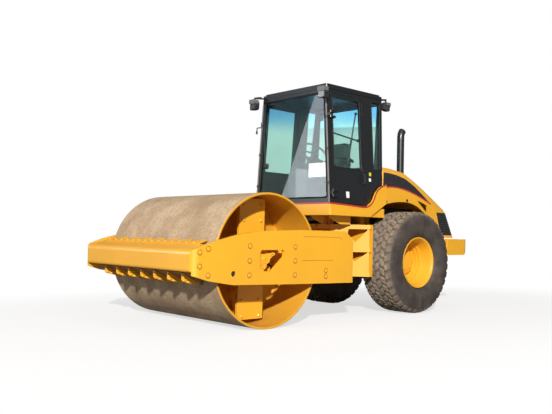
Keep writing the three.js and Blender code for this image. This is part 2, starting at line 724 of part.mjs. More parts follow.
function seatBase() {
  const x = driver.seatX;
  return join(
    box(x - 190, x + 190, -190, 190, floorZ, floorZ + 60),
    box(x - 130, x + 130, -150, 150, floorZ + 50, floorZ + 330),
    box(x - 220, x + 240, -230, 230, floorZ + 320, floorZ + 390),
  );
}

function seatCushion() {
  const x = driver.seatX;
  const half = driver.width / 2;
  const plan = outline([[x - 210, -half], [x - 210, half], [x + 270, half], [x + 270, -half]], 70);
  return prism(plan, "z", floorZ + 390 + seat, driver.cushionTop, 4);
}

function seatBack() {
  const x = driver.seatX;
  const half = driver.width / 2 - 10;
  const face = outline([
    [-half, driver.cushionTop + seat], [half, driver.cushionTop + seat], [half - 20, driver.backTop],
    [-half + 20, driver.backTop],
  ], 80);
  return prism(face, "x", x - 210, x - 90, 4);
}

function steeringConsole() {
  const x = cab.front - cab.wall;
  const pedestal = outline([
    [x - 60, floorZ], [x - 330, floorZ, 20], [x - 360, floorZ + 520, 30], [x - 120, floorZ + 620, 60],
    [x - 60, floorZ + 420, 20],
  ]);
  return join(
    prism(pedestal, "y", -170, 170, 3),
    rod([x - 210, 0, floorZ + 540], [x - 380, 0, floorZ + 760 - seat], 26, 12),
  );
}

function steeringWheel() {
  const ring = new THREE.TorusGeometry(200, 15, 6, 24);
  const parts = [solid(ring), rod([0, 0, -12], [0, 0, 14], 45, 12)];
  for (const angle of [90, 210, 330]) {
    const t = THREE.MathUtils.degToRad(angle);
    parts.push(rod([0, 0, 0], [198 * Math.cos(t), 198 * Math.sin(t), 0], 10, 6));
  }
  const lean = Math.atan2(170, 220);
  const place = new THREE.Matrix4()
    .makeTranslation(cab.front - cab.wall - 380, 0, floorZ + 760)
    .multiply(new THREE.Matrix4().makeRotationY(-lean))
    .multiply(new THREE.Matrix4().makeTranslation(0, 0, 12));
  return join(...parts).transform(place.elements);
}

function armConsole() {
  const x = driver.seatX;
  const y = -driver.width / 2 - 30;
  const profile = outline([
    [x - 180, floorZ], [x + 200, floorZ], [x + 330, floorZ + 560, 30], [x + 300, floorZ + 640, 40],
    [x - 180, floorZ + 600, 30],
  ]);
  return join(
    prism(profile, "y", y - 200, y, 3),
    rod([x + 180, y - 100, floorZ + 600], [x + 200, y - 100, floorZ + 760], 12, 12),
    rod([x + 198, y - 100, floorZ + 745], [x + 204, y - 100, floorZ + 800], 26, 12, 20),
  );
}

// ---------- engine hood ----------
const hoodCrown = [
  [-2400, 2062], [-2700, 2056], [-2980, 2022], [-3200, 1935], [-3450, 1818], [-3790, 1640],
  [-4020, 1515], [-4062, 1470], [-4290, 1066],
];

// The hood's outer block with rounded shoulders, or an inner block for its hollow.
function hoodBlock(inset) {
  const shape = new THREE.Shape();
  const low = 700;
  shape.moveTo(-2400, low);
  for (const [x, z] of hoodCrown) shape.lineTo(x, z);
  shape.lineTo(-4290, low);
  shape.closePath();
  const round = hood.shoulder;
  const g = new THREE.ExtrudeGeometry(shape, {
    depth: 2 * (hood.halfWidth - round), bevelEnabled: true, bevelThickness: round - inset,
    bevelSize: round - inset, bevelOffset: -round, bevelSegments: 3,
  });
  g.applyMatrix4(directions.y);
  return solid(g.translate(0, hood.halfWidth - round, 0));
}

function hoodTrimmer() {
  const { centreX, centreZ, radius } = arch;
  const shape = new THREE.Shape();
  shape.moveTo(-2300, 600);
  shape.lineTo(-2300, 1500);
  shape.lineTo(hood.front, 1512);
  shape.quadraticCurveTo(-2700, 1575, centreX, centreZ + radius);
  const steps = 6;
  const endAngle = Math.acos((-3500 - centreX) / radius);
  for (let i = 1; i <= steps; i += 1) {
    const t = Math.PI / 2 + (i / steps) * (endAngle - Math.PI / 2);
    shape.lineTo(centreX + radius * Math.cos(t), centreZ + radius * Math.sin(t));
  }
  shape.lineTo(-3890, 1080);
  shape.lineTo(-3890, ballast.top + 15);
  shape.lineTo(-4500, ballast.top + 15);
  shape.lineTo(-4500, 600);
  shape.closePath();
  return prism(shape, "y", -900, 900, 4);
}

const hoodOuter = hoodBlock(0);
const hoodShell = cut(
  hoodOuter, hoodBlock(hood.shell), hoodTrimmer(), box(hood.front, -2300, -900, 900, 600, 2300));

function grilleCutter(inset) {
  const { frontTop, frontBottom, bottom, top } = grille;
  const shape = outline([
    [frontTop - inset, top - inset], [frontBottom - inset, bottom + inset], [-4600, bottom + inset],
    [-4600, top - inset],
  ]);
  return prism(shape, "y", -900, 900);
}

function ventCutter(side) {
  const shape = outline([[-3215, 1632], [-3500, 1545], [-3512, 1425]], 18);
  return side > 0 ? prism(shape, "y", 600, 900, 3) : prism(shape, "y", -900, -600, 3);
}

function engineHood() {
  const ears = sides.flatMap(([, side]) => [
    box(hood.hingeX - 34, hood.hingeX + 34, side * 250, side * 290, hood.hingeZ - 32, 2045),
  ]);
  const bore = boreFor([hood.hingeX, -600, hood.hingeZ], [hood.hingeX, 600, hood.hingeZ], hood.pin);
  return cut(join(cut(hoodShell, grilleCutter(0), ventCutter(1), ventCutter(-1)), ...ears), bore);
}

function rearGrille() {
  return hoodShell.intersect(grilleCutter(seat));
}

function exhaustStack() {
  const path = new THREE.CurvePath();
  const bendZ = stack.top - 95;
  path.add(new THREE.LineCurve3(
    new THREE.Vector3(stack.x, stack.y, 1780), new THREE.Vector3(stack.x, stack.y, bendZ)));
  path.add(new THREE.QuadraticBezierCurve3(
    new THREE.Vector3(stack.x, stack.y, bendZ), new THREE.Vector3(stack.x, stack.y, bendZ + 60),
    new THREE.Vector3(stack.x - 45, stack.y, bendZ + 95 - 20)));
  const ring = new THREE.Shape();
  ring.absarc(0, 0, stack.radius, 0, 2 * Math.PI);
  const settings = { steps: 10, curveSegments: 6, extrudePath: path, bevelEnabled: false };
  const g = new THREE.ExtrudeGeometry(ring, settings);
  return cut(solid(g), hoodOuter.translate([0, 0, seat]));
}

// ---------- rear axle and wheels ----------
function rearAxle() {
  const { x, z, tube, flange: disc, flangeY, spindle } = axle;
  const middle = new THREE.SphereGeometry(150, 14, 8).translate(x, 0, z);
  const parts = [
    solid(middle),
    rod([x, -flangeY, z], [x, flangeY, z], tube, 16),
    box(x - 120, x + 120, -chassis.halfWidth - 15, chassis.halfWidth + 15, z, z + 115 - seat),
  ];
  for (const [, side] of sides) {
    parts.push(rod([x, side * (flangeY - 90), z], [x, side * flangeY, z], disc, 20));
    parts.push(rod([x, side * flangeY, z], [x, side * (rim.discY + 45), z], spindle, 16));
  }
  return join(...parts);
}

function wheelRim(side) {
  const { flange: lipRadius, flangePlate, lip, outerLip, barrel, discY, disc } = rim;
  const seatRadius = tyre.bead - seat;
  const well = seatRadius - barrel;
  const bore = axle.spindle + running;
  const profile = [
    [bore, discY], [well - 40, discY], [well, discY - 60], [well, lip],
    [lipRadius, lip], [lipRadius, lip + flangePlate], [seatRadius, lip + flangePlate],
    [seatRadius, outerLip - flangePlate], [lipRadius, outerLip - flangePlate], [lipRadius, outerLip],
    [well + 6, outerLip], [well, discY + 110], [well - 50, discY + disc],
    [175, discY + disc], [150, discY + 85], [0, discY + 85],
    [0, discY + 55], [bore, discY + 55], [bore, discY],
  ].map(([r, y]) => [r, side * y]);
  return turned(profile, axle.x, axle.z, wheelSides);
}

function wheelTyre(side) {
  const { radius, inner, outer, bead } = tyre;
  const lowBead = rim.lip + rim.flangePlate + seat;
  const highBead = rim.outerLip - rim.flangePlate - seat;
  const cheek = rim.flange + 4;
  const profile = [
    [bead, lowBead], [cheek, lowBead], [cheek + 4, lowBead - 25], [500, inner],
    [640, inner + 8], [radius - 22, inner + 40], [radius, inner + 90],
    [radius, outer - 90], [radius - 22, outer - 40], [640, outer - 8], [500, outer],
    [cheek + 4, highBead + 25], [cheek, highBead], [bead, highBead], [bead, lowBead],
  ].map(([r, y]) => [r, side * y]);
  return turned(profile, axle.x, axle.z, wheelSides);
}

// ---------- assembly ----------
place("drum_shell", drumShell(), steel);
place("front_beam", frontBeamTube(), yellow);
place("rear_beam", rearBeamTube(), yellow);
place("scraper_lower", lowerScraper(), yellow);
place("scraper_upper", upperScraper(), yellow);
place("hitch_link", hitchLink(), darkSteel);
place("hitch_nose", hitchNose(), yellow);
place("rear_frame", rearFrame(), yellow);
place("cab_deck", cabDeck(), yellow);
place("cab_frame", cabFrame(), black);
place("cab_roof", cabRoof(), black);
place("windshield", cabGlass(windshieldCutter(seat)), greenGlass);
place("rear_window", cabGlass(rearWindowCutter(seat)), greenGlass);
place("seat_base", seatBase(), black);
place("seat_cushion", seatCushion(), greyFabric);
place("seat_back", seatBack(), greyFabric);
place("steering_console", steeringConsole(), black);
place("steering_wheel", steeringWheel(), black);
place("arm_console", armConsole(), black);
place("engine_block", box(
  engine.front, engine.rear, -engine.halfWidth, engine.halfWidth, engine.bottom, engine.top), darkSteel);
place("engine_hood", engineHood(), yellow);
place("rear_grille", rearGrille(), black);
place("exhaust_stack", exhaustStack(), black);
place("counterweight", counterweight(), yellow);
place("rear_axle", rearAxle(), yellow);
for (const [name, side] of sides) {
  place("drum_head_" + name, drumHead(side), yellow);
  place("side_plate_" + name, sidePlate(side), yellow);
  place("drum_support_" + name, drumSupport(side), yellow);
  place("steering_barrel_" + name, steeringBarrel(side), yellow);
  place("steering_rod_" + name, steeringRod(side), chrome);
  place("door_" + name, cabDoor(side), black);
  place("door_glass_" + name, cabGlass(sideCutter(side, doorGlassArea, seat, 30 - seat)), greenGlass);
  place("quarter_glass_" + name, cabGlass(sideCutter(side, quarter, seat, 24 - seat)), greenGlass);
  place("rim_" + name, wheelRim(side), yellow);
  place("tyre_" + name, wheelTyre(side), rubber);
}
machine.position.x = -(frontEnd + rearEnd) / 2;

export default machine;
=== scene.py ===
"""Looks for a single-drum soil compactor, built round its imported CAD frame.

Metres; +X is forward, +Y is the machine's left, +Z is up. ahead(x) is a place x metres ahead of the
drum's axle, so places read as they do in the CAD source.
"""

import random
from math import atan2, cos, exp, pi, radians, sin, tan

import bmesh
import bpy
from mathutils import Matrix, Vector


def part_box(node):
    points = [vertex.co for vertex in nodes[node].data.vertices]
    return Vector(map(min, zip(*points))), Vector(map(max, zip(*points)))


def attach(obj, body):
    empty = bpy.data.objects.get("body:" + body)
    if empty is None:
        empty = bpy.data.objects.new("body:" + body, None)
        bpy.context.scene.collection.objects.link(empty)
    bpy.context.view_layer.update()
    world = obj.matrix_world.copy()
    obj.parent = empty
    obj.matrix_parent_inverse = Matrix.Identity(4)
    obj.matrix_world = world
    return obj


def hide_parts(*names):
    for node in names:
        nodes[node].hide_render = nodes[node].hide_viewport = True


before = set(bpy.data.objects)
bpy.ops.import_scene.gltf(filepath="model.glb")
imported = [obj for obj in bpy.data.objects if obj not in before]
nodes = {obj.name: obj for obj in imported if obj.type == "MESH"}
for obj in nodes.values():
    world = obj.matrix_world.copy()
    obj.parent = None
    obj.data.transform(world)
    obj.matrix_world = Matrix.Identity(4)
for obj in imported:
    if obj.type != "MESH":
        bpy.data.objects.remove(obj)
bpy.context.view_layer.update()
rng = random.Random(7)

SIDES = (("left", 1), ("right", -1))
X, Y, Z = Vector((1, 0, 0)), Vector((0, 1, 0)), Vector((0, 0, 1))
WHITE = (1, 1, 1, 1)


def middle(node):
    low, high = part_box(node)
    return (low + high) / 2


DRUM_X = middle("drum_shell").x
DRUM_R = 0.767
DRUM_C = Vector((DRUM_X, 0, DRUM_R))
AXLE = middle("rear_axle")
WHEEL_C = Vector((AXLE.x, 0, AXLE.z))


def ahead(x, y=0.0, z=0.0):
    return Vector((DRUM_X + x, y, z))


def around(count, offset=0.0):
    """Unit directions spread evenly round the Y axis."""
    turns = (2 * pi * (k + offset) / count for k in range(count))
    return [X * cos(t) + Z * sin(t) for t in turns]


def rectangle(x0, y0, x1, y1):
    return [(x0, y0), (x1, y0), (x1, y1), (x0, y1)]


# ---------------------------------------------------------------- shader expressions
class Value:
    """A socket that takes part in arithmetic: each operation adds its Math node."""

    def __init__(self, finish, socket):
        self.finish, self.socket = finish, socket

    def math(self, operation, a, b=0.0):
        return self.finish.node("ShaderNodeMath", {"operation": operation}, {0: a, 1: b})

    def part(self, name):
        return Value(self.finish, self.socket.node.outputs[name])

    def __add__(self, other):
        return self.math("ADD", self, other)

    def __mul__(self, other):
        return self.math("MULTIPLY", self, other)

    def __sub__(self, other):
        return self.math("SUBTRACT", self, other)

    def __rsub__(self, other):
        return self.math("SUBTRACT", other, self)

    __radd__, __rmul__ = __add__, __mul__

    def wave(self):
        """A sine that runs from 0 to 1."""
        return self.math("SINE", self) * 0.5 + 0.5

    def over(self, low, high):
        """0 below low, 1 above high, even in between."""
        settings = {"interpolation_type": "SMOOTHSTEP"}
        return self.finish.node("ShaderNodeMapRange", settings, {"Value": self, "From Min": low, "From Max": high})


class Finish:
    """One surface finish: a Principled shader and the nodes that feed it."""

    def __init__(self, name, **uniform):
        self.material = bpy.data.materials.new(name)
        self.material.use_nodes = True
        self.tree = self.material.node_tree
        self.shader = self.tree.nodes["Principled BSDF"]
        self.set(uniform)

    def node(self, kind, settings=None, inputs=None, output=0):
        made = self.tree.nodes.new(kind)
        for name, setting in (settings or {}).items():
            setattr(made, name, setting)
        for key, given in (inputs or {}).items():
            self.feed(made.inputs[key], given)
        return Value(self, made.outputs[output])

    def feed(self, socket, given):
        if isinstance(given, Value):
            self.tree.links.new(given.socket, socket)
        else:
            socket.default_value = given

    def set(self, inputs):
        for name, given in inputs.items():
            self.feed(self.shader.inputs[name.replace("_", " ")], given)

    def show(self, factor, a, b):
        """Shows shader a, and b where the factor is 1."""
        mixed = self.node("ShaderNodeMixShader", None, {0: factor, 1: a, 2: b})
        self.feed(self.tree.nodes["Material Output"].inputs["Surface"], mixed)

    def skin(self, colour, roughness, height, strength, distance, **more):
        """Feeds the shader and its relief, and hands over the material."""
        self.set({"Base Color": colour, "Roughness": roughness, **more})
        inputs = {"Height": height, "Strength": strength, "Distance": distance}
        self.set({"Normal": self.node("ShaderNodeBump", None, inputs)})
        return self.material

    def vector(self, operation, a, b, output=0):
        return self.node("ShaderNodeVectorMath", {"operation": operation}, {0: a, 1: b}, output)

    def place(self, stretch=(1, 1, 1)):
        """Where a point is on the machine at rest, in metres, stretched along each axis."""
        point = self.node("ShaderNodeTexCoord", output="Object")
        return point if stretch == (1, 1, 1) else self.vector("MULTIPLY", point, stretch)

    def along(self, axis, vector=None):
        return self.node("ShaderNodeSeparateXYZ", None, {"Vector": vector or self.place()}, axis)

    def noise(self, scale, detail=3.0, roughness=0.55, stretch=(1, 1, 1)):
        inputs = {"Vector": self.place(stretch), "Scale": scale, "Detail": detail, "Roughness": roughness}
        return self.node("ShaderNodeTexNoise", None, inputs, "Fac")

    def cells(self, scale):
        return self.node("ShaderNodeTexVoronoi", None, {"Vector": self.place(), "Scale": scale}, "Distance")

    def mix(self, factor, a, b):
        return self.node("ShaderNodeMix", {"data_type": "RGBA"}, {0: factor, 6: a, 7: b}, 2)

    def layers(self, base, *layers):
        """Lays (share, colour) pairs over a base colour, one by one."""
        for share, colour in layers:
            base = self.mix(share, base, colour)
        return base

    def edges(self, radius):
        """1 on an edge sharper than the radius, 0 on the flat."""
        rounded_normal = self.node("ShaderNodeBevel", {"samples": 4}, {"Radius": radius})
        plain = self.node("ShaderNodeNewGeometry", output="Normal")
        return (1 - self.vector("DOT_PRODUCT", rounded_normal, plain, "Value")).over(0.01, 0.2)

    def facing_up(self):
        return self.along("Z", self.node("ShaderNodeNewGeometry", output="Normal")).over(0.3, 0.95)


def srgb(r, g, b):
    def linear(c):
        c /= 255
        return c / 12.92 if c < 0.04045 else ((c + 0.055) / 1.055) ** 2.4

    return (linear(r), linear(g), linear(b), 1.0)


def dimmed(colour, share):
    return tuple(share * c for c in colour[:3]) + (1.0,)


DUST = srgb(176, 146, 108)


def painted(name, colour, worn, dust=0.25, low_dust=0.3, gloss=0.38, grain=900.0, chip=0.55):
    """Machine paint: uneven tone, dust where it settles, chipped edges and a faint orange peel."""
    f = Finish(name, Coat_Weight=0.25, Coat_Roughness=0.18, Specular_IOR_Level=0.5)
    patches = f.noise(1.7, 4)
    tone = f.mix(patches.over(0.35, 0.7) * 0.5, colour, dimmed(colour, 0.86))
    speckle = f.noise(45.0, 4, 0.7)
    settled = f.facing_up() * dust + (1 - f.along("Z").over(0.05, 1.0)) * low_dust
    cover = settled * f.noise(6.0, 5, 0.65).over(0.25, 0.8) * speckle.over(0.2, 0.75)
    wear = f.edges(0.006) * f.noise(18.0, 5, 0.75).over(chip, chip + 0.12)
    shown = f.layers(tone, (cover, DUST), (wear * 0.85, worn))
    rough = gloss + 0.1 * patches + cover * 0.5 + 0.06 * speckle
    return f.skin(shown, rough, f.noise(grain, 2) * 0.5 + speckle * 0.3, 0.12, 0.0006)


def dusty_steel():
    """Rolled steel under dried soil: long scuffs round the drum, pits, smears and pale dust."""
    f = Finish("drum_steel_dusty", Specular_IOR_Level=0.4)
    scuffs = f.noise(3.0, 6, 0.7, (1.0, 10.0, 1.0))
    across = {"W": f.along("Y"), "Scale": 34.0, "Detail": 5.0}
    bands = f.node("ShaderNodeTexNoise", {"noise_dimensions": "1D"}, across, "Fac")
    blotches = f.noise(2.6, 7, 0.68)
    grit, fine = f.noise(48.0, 6, 0.8), f.noise(170.0, 4, 0.75)
    dark = grit.over(0.53, 0.62) * blotches.over(0.25, 0.55)
    bare = f.noise(9.0, 6, 0.8, (1.0, 4.0, 1.0)).over(0.66, 0.74)
    base = f.layers(
        f.mix(blotches.over(0.3, 0.7), srgb(160, 134, 105), srgb(198, 174, 144)),
        (scuffs.over(0.45, 0.72) * 0.24, srgb(122, 101, 80)),
        (bands.over(0.5, 0.7) * 0.16, srgb(164, 144, 122)),
        (dark * 0.75, srgb(94, 75, 57)),
        (f.noise(60.0, 5, 0.8).over(0.58, 0.7) * 0.85, srgb(222, 202, 174)),
        (fine.over(0.52, 0.7) * 0.4, srgb(110, 92, 74)),
        (bare * 0.4, srgb(118, 110, 104)),
    )
    relief = grit * 0.8 + scuffs * 0.3 + fine * 0.5 - dark * 0.5
    return f.skin(base, 0.84 - bare * 0.3 - bands * 0.06, relief, 0.6, 0.003, Metallic=bare * 0.5)


def tread_rubber():
    """Tyre rubber: black below, grey-brown dust in the tread and over the shoulder."""
    f = Finish("tyre_rubber", Specular_IOR_Level=0.35)
    away = f.vector("SUBTRACT", f.place((1, 0, 1)), (AXLE.x, 0, AXLE.z))
    radius = f.node("ShaderNodeVectorMath", {"operation": "LENGTH"}, {0: away}, "Value")
    tread = radius.over(0.64, 0.705)
    side = f.mix(f.noise(5.0, 5).over(0.3, 0.75), srgb(58, 52, 50), srgb(80, 72, 67))
    worn = f.mix(f.noise(14.0, 6, 0.7).over(0.3, 0.72), srgb(112, 100, 88), srgb(152, 138, 122))
    # Darker towards the bottom of the grooves, below the lugs' tops.
    worn = f.mix((1 - radius.over(0.698, 0.712)) * 0.55, worn, srgb(88, 76, 64))
    splash = f.noise(3.0, 6, 0.7).over(0.52, 0.75) * (1 - tread)
    grime = f.noise(120.0, 4, 0.75)
    base = f.layers(
        side, (tread, worn), (splash * 0.45, srgb(120, 106, 92)), (grime.over(0.55, 0.8) * 0.35, srgb(58, 52, 48))
    )
    rings = (radius * 230.0).wave() * (1 - radius.over(0.56, 0.6)) * radius.over(0.4, 0.42)
    relief = grime * 0.4 + f.noise(30.0, 4) * 0.3 + rings * 0.35
    return f.skin(base, 0.62 + tread * 0.25 + splash * 0.12, relief, 0.4, 0.0025)


def dark_rubber(name="hose_rubber", tone=srgb(34, 34, 35)):
    f = Finish(name, Specular_IOR_Level=0.4)
    soil = f.noise(22.0, 5, 0.7).over(0.45, 0.8)
    base = f.mix(soil * 0.35, tone, srgb(96, 84, 70))
    return f.skin(base, 0.5 + soil * 0.3, f.noise(350.0, 3), 0.25, 0.0006)


def cast_iron():
    f = Finish("cast_iron", Metallic=0.6)
    oil = f.noise(7.0, 5, 0.65)
    rust = f.noise(17.0, 6, 0.75).over(0.6, 0.78)
    rub = f.edges(0.004) * f.noise(30.0, 4).over(0.4, 0.6)
    base = f.mix(oil.over(0.35, 0.7), srgb(52, 50, 50), srgb(84, 78, 72))
    base = f.layers(base, (rust * 0.5, srgb(112, 70, 44)), (rub * 0.7, srgb(150, 146, 140)))
    relief = f.noise(240.0, 3) + f.noise(40.0, 4) * 0.6
    return f.skin(base, 0.55 + rust * 0.3 - oil * 0.12, relief, 0.35, 0.0012)


def chromed():
    f = Finish("chrome_rod", Metallic=1.0)
    streaks = f.noise(40.0, 4, 0.6, (1.0, 12.0, 12.0))
    film = f.noise(9.0, 5).over(0.45, 0.8)
    base = f.mix(film * 0.25, srgb(222, 224, 226), srgb(168, 158, 142))
    return f.skin(base, 0.1 + streaks * 0.08 + film * 0.22, streaks, 0.05, 0.0002)


def black_plastic():
    f = Finish("moulded_plastic", Specular_IOR_Level=0.45)
    scuff = f.noise(11.0, 5, 0.6)
    base = f.mix(scuff.over(0.4, 0.75), srgb(38, 40, 43), srgb(60, 60, 60))
    return f.skin(base, 0.55 + scuff * 0.15, f.cells(700.0), 0.35, 0.0005)


def seat_fabric():
    """Woven seat cloth: crossed threads with soft shade between, faded in patches."""
    f = Finish("seat_weave", Sheen_Weight=0.25, Sheen_Roughness=0.5, Specular_IOR_Level=0.2)
    point = f.along("X", f.place((1400, 1400, 1400)))
    warp = point.math("SINE", point + point.part("Z"))
    weft = point.math("SINE", point.part("Y"))
    weave = (warp * weft) * 0.5 + 0.5
    fade = f.noise(8.0, 5)
    base = f.mix(weave * 0.6, srgb(48, 56, 56), srgb(88, 96, 93))
    base = f.mix(fade.over(0.45, 0.75) * 0.4, base, srgb(110, 112, 104))
    return f.skin(base, 0.85 + fade * 0.1, weave + fade * 0.3, 0.5, 0.0008)


def glazing(name, low_tint, high_tint, rise):
    """Tinted sheet glass, bluer towards its top, which lets lamps through."""
    f = Finish(name, Transmission_Weight=1.0, IOR=1.45, Specular_IOR_Level=0.5)
    smear = f.noise(4.0, 5, 0.6, (1.0, 1.0, 0.4))
    tint = f.mix(f.along("Z").over(*rise), low_tint, high_tint)
    f.set({"Base Color": f.mix(smear.over(0.5, 0.8) * 0.08, tint, srgb(200, 196, 186))})
    f.set({"Roughness": 0.02 + smear.over(0.5, 0.85) * 0.05})
    lamp_ray = f.node("ShaderNodeLightPath", output="Is Shadow Ray")
    passes = lamp_ray.math("MAXIMUM", lamp_ray, lamp_ray.part("Is Diffuse Ray"))
    clear = f.node("ShaderNodeBsdfTransparent", None, {"Color": tint})
    f.show(passes, Value(f, f.shader.outputs[0]), clear)
    return f.material


def plain_vinyl(name, colour, dirt=0.2):
    """A blank sticker or stripe: smooth vinyl with scuffs and dirt at its edges."""
    f = Finish(name, Coat_Weight=0.3, Coat_Roughness=0.2)
    scuff = f.noise(26.0, 5, 0.7)
    base = f.mix(scuff.over(0.5, 0.85) * dirt, colour, DUST)
    return f.skin(base, 0.38 + scuff * 0.2, f.noise(500.0, 2), 0.08, 0.0003)


def lamp_lens():
    f = Finish("lamp_lens", Coat_Weight=1.0, Coat_Roughness=0.05)
    ribs = (f.along("Y") * 420.0).wave()
    film = f.noise(30.0, 4)
    base = f.mix(ribs * 0.5 + film * 0.3, srgb(86, 88, 90), srgb(40, 42, 44))
    return f.skin(base, 0.15 + film * 0.15, ribs, 0.3, 0.001, Metallic=0.3 + ribs * 0.4)


def coloured_lens(name, colour):
    f = Finish(name, Coat_Weight=1.0, Coat_Roughness=0.08)
    prisms = f.cells(260.0)
    base = f.mix(prisms.over(0.2, 0.7), colour, dimmed(colour, 0.45))
    return f.skin(base, 0.2 + f.noise(20.0) * 0.15, prisms, 0.4, 0.001)


def floor_mat():
    f = Finish("ribbed_mat", Specular_IOR_Level=0.3)
    soil = f.noise(9.0, 6, 0.7)
    base = f.mix(soil.over(0.4, 0.75) * 0.6, srgb(40, 40, 40), srgb(116, 100, 80))
    return f.skin(base, 0.7 + soil * 0.2, (f.along("Y") * 330.0).wave() + soil * 0.4, 0.6, 0.002)


yellow = painted("yellow_paint", srgb(231, 168, 36), srgb(122, 96, 66), 0.16, 0.16)
# A darker yellow for the drum's inside, bulkheads and buffer plates: painted shade for the shade inside the drum's
# ends.
shaded_inner_yellow = painted("drum_inside_painted_shade", srgb(214, 154, 34), srgb(96, 70, 44), 0.16, 0.16, 0.5, 420.0)
# A darker yellow for the lower scraper strip: painted shade for the front beam's shadow over it.
shade_painted_yellow = painted("scraper_painted_shade", srgb(128, 78, 18), srgb(88, 64, 40), 0.3, 0.3, 0.6, 300.0)
seam_shade = painted("seam_shade", srgb(150, 96, 24), srgb(90, 66, 40), 0.1, 0.3, 0.6)
black = painted("black_paint", srgb(21, 24, 28), srgb(88, 90, 92), 0.2, 0.06, 0.34, 700.0)
stack_black = painted("stack_black", srgb(30, 33, 35), srgb(92, 84, 78), 0.1, 0.0, 0.28, 400.0, 0.5)
grille_grey = painted("grille_grey", srgb(52, 55, 59), srgb(96, 96, 94), 0.3, 0.1, 0.4, 500.0, 0.5)
lamp_cap = painted("lamp_cap", srgb(104, 106, 105), srgb(84, 84, 82), 0.3, 0.0, 0.45, 500.0, 0.5)
# Pale grey for the tube up each front corner: a painted highlight along the pillar's edge.
corner_highlight_grey = painted("corner_highlight_trim", srgb(104, 104, 104), srgb(150, 148, 144), 0.2, 0.1, 0.4, 500.0, 0.5)
red_stripe = plain_vinyl("red_stripe", srgb(172, 48, 40))
black_band = plain_vinyl("black_band", srgb(34, 34, 38), 0.15)
blank_white = plain_vinyl("blank_white_sticker", srgb(238, 238, 234), 0.15)
blank_yellow = plain_vinyl("blank_yellow_sticker", srgb(214, 206, 52))
white_card = plain_vinyl("blank_white_card", srgb(248, 249, 250), 0.05)
drum_steel = dusty_steel()
tyre_rubber = tread_rubber()
hose_rubber = dark_rubber()
seal_rubber = dark_rubber("seal_rubber", srgb(26, 27, 28))
webbing = dark_rubber("belt_webbing", srgb(30, 30, 32))
iron = cast_iron()
chrome = chromed()
plastic = black_plastic()
fabric = seat_fabric()
glass = glazing("tinted_glass", srgb(206, 236, 228), srgb(152, 206, 226), (2.5, 2.8))
lens = lamp_lens()
red_lens = coloured_lens("red_lens", srgb(190, 22, 18))
amber_lens = coloured_lens("amber_lens", srgb(240, 140, 20))
ribbed_mat = floor_mat()


# ---------------------------------------------------------------- mesh making
def rounded(points, radius, steps=5):
    """A closed outline of 2-D points with its corners rounded."""
    made = []
    count = len(points)
    for i in range(count):
        here = Vector(points[i])
        before = Vector(points[i - 1]) - here
        after = Vector(points[(i + 1) % count]) - here
        back = min(radius / tan(before.angle(after) / 2), 0.49 * before.length, 0.49 * after.length)
        start = here + before.normalized() * back
        end = here + after.normalized() * back
        for k in range(steps + 1):
            t = k / steps
            made.append((1 - t) ** 2 * start + 2 * t * (1 - t) * here + t * t * end)
    return made


def smooth_path(points, per=8):
    """A Catmull-Rom line through the points."""
    p = [Vector(q) for q in points]
    p = [2 * p[0] - p[1], *p, 2 * p[-1] - p[-2]]
    made = []
    for i in range(1, len(p) - 2):
        a, b, c, d = p[i - 1 : i + 3]
        for t in (k / per for k in range(per)):
            curve = (2 * a - 5 * b + 4 * c - d) * t * t + (3 * b - a - 3 * c + d) * t**3
            made.append(0.5 * (2 * b + (c - a) * t + curve))
    return [*made, p[-2]]


def square_to(direction):
    """Two unit vectors square to a direction and to each other."""
    d = direction.normalized()
    u = d.cross(Z if abs(d.z) < 0.9 else X).normalized()
    return u, d.cross(u)


def way_at(line, i):
    """The unit direction of a line of points at one of them."""
    return (line[min(i + 1, len(line) - 1)] - line[max(i - 1, 0)]).normalized()


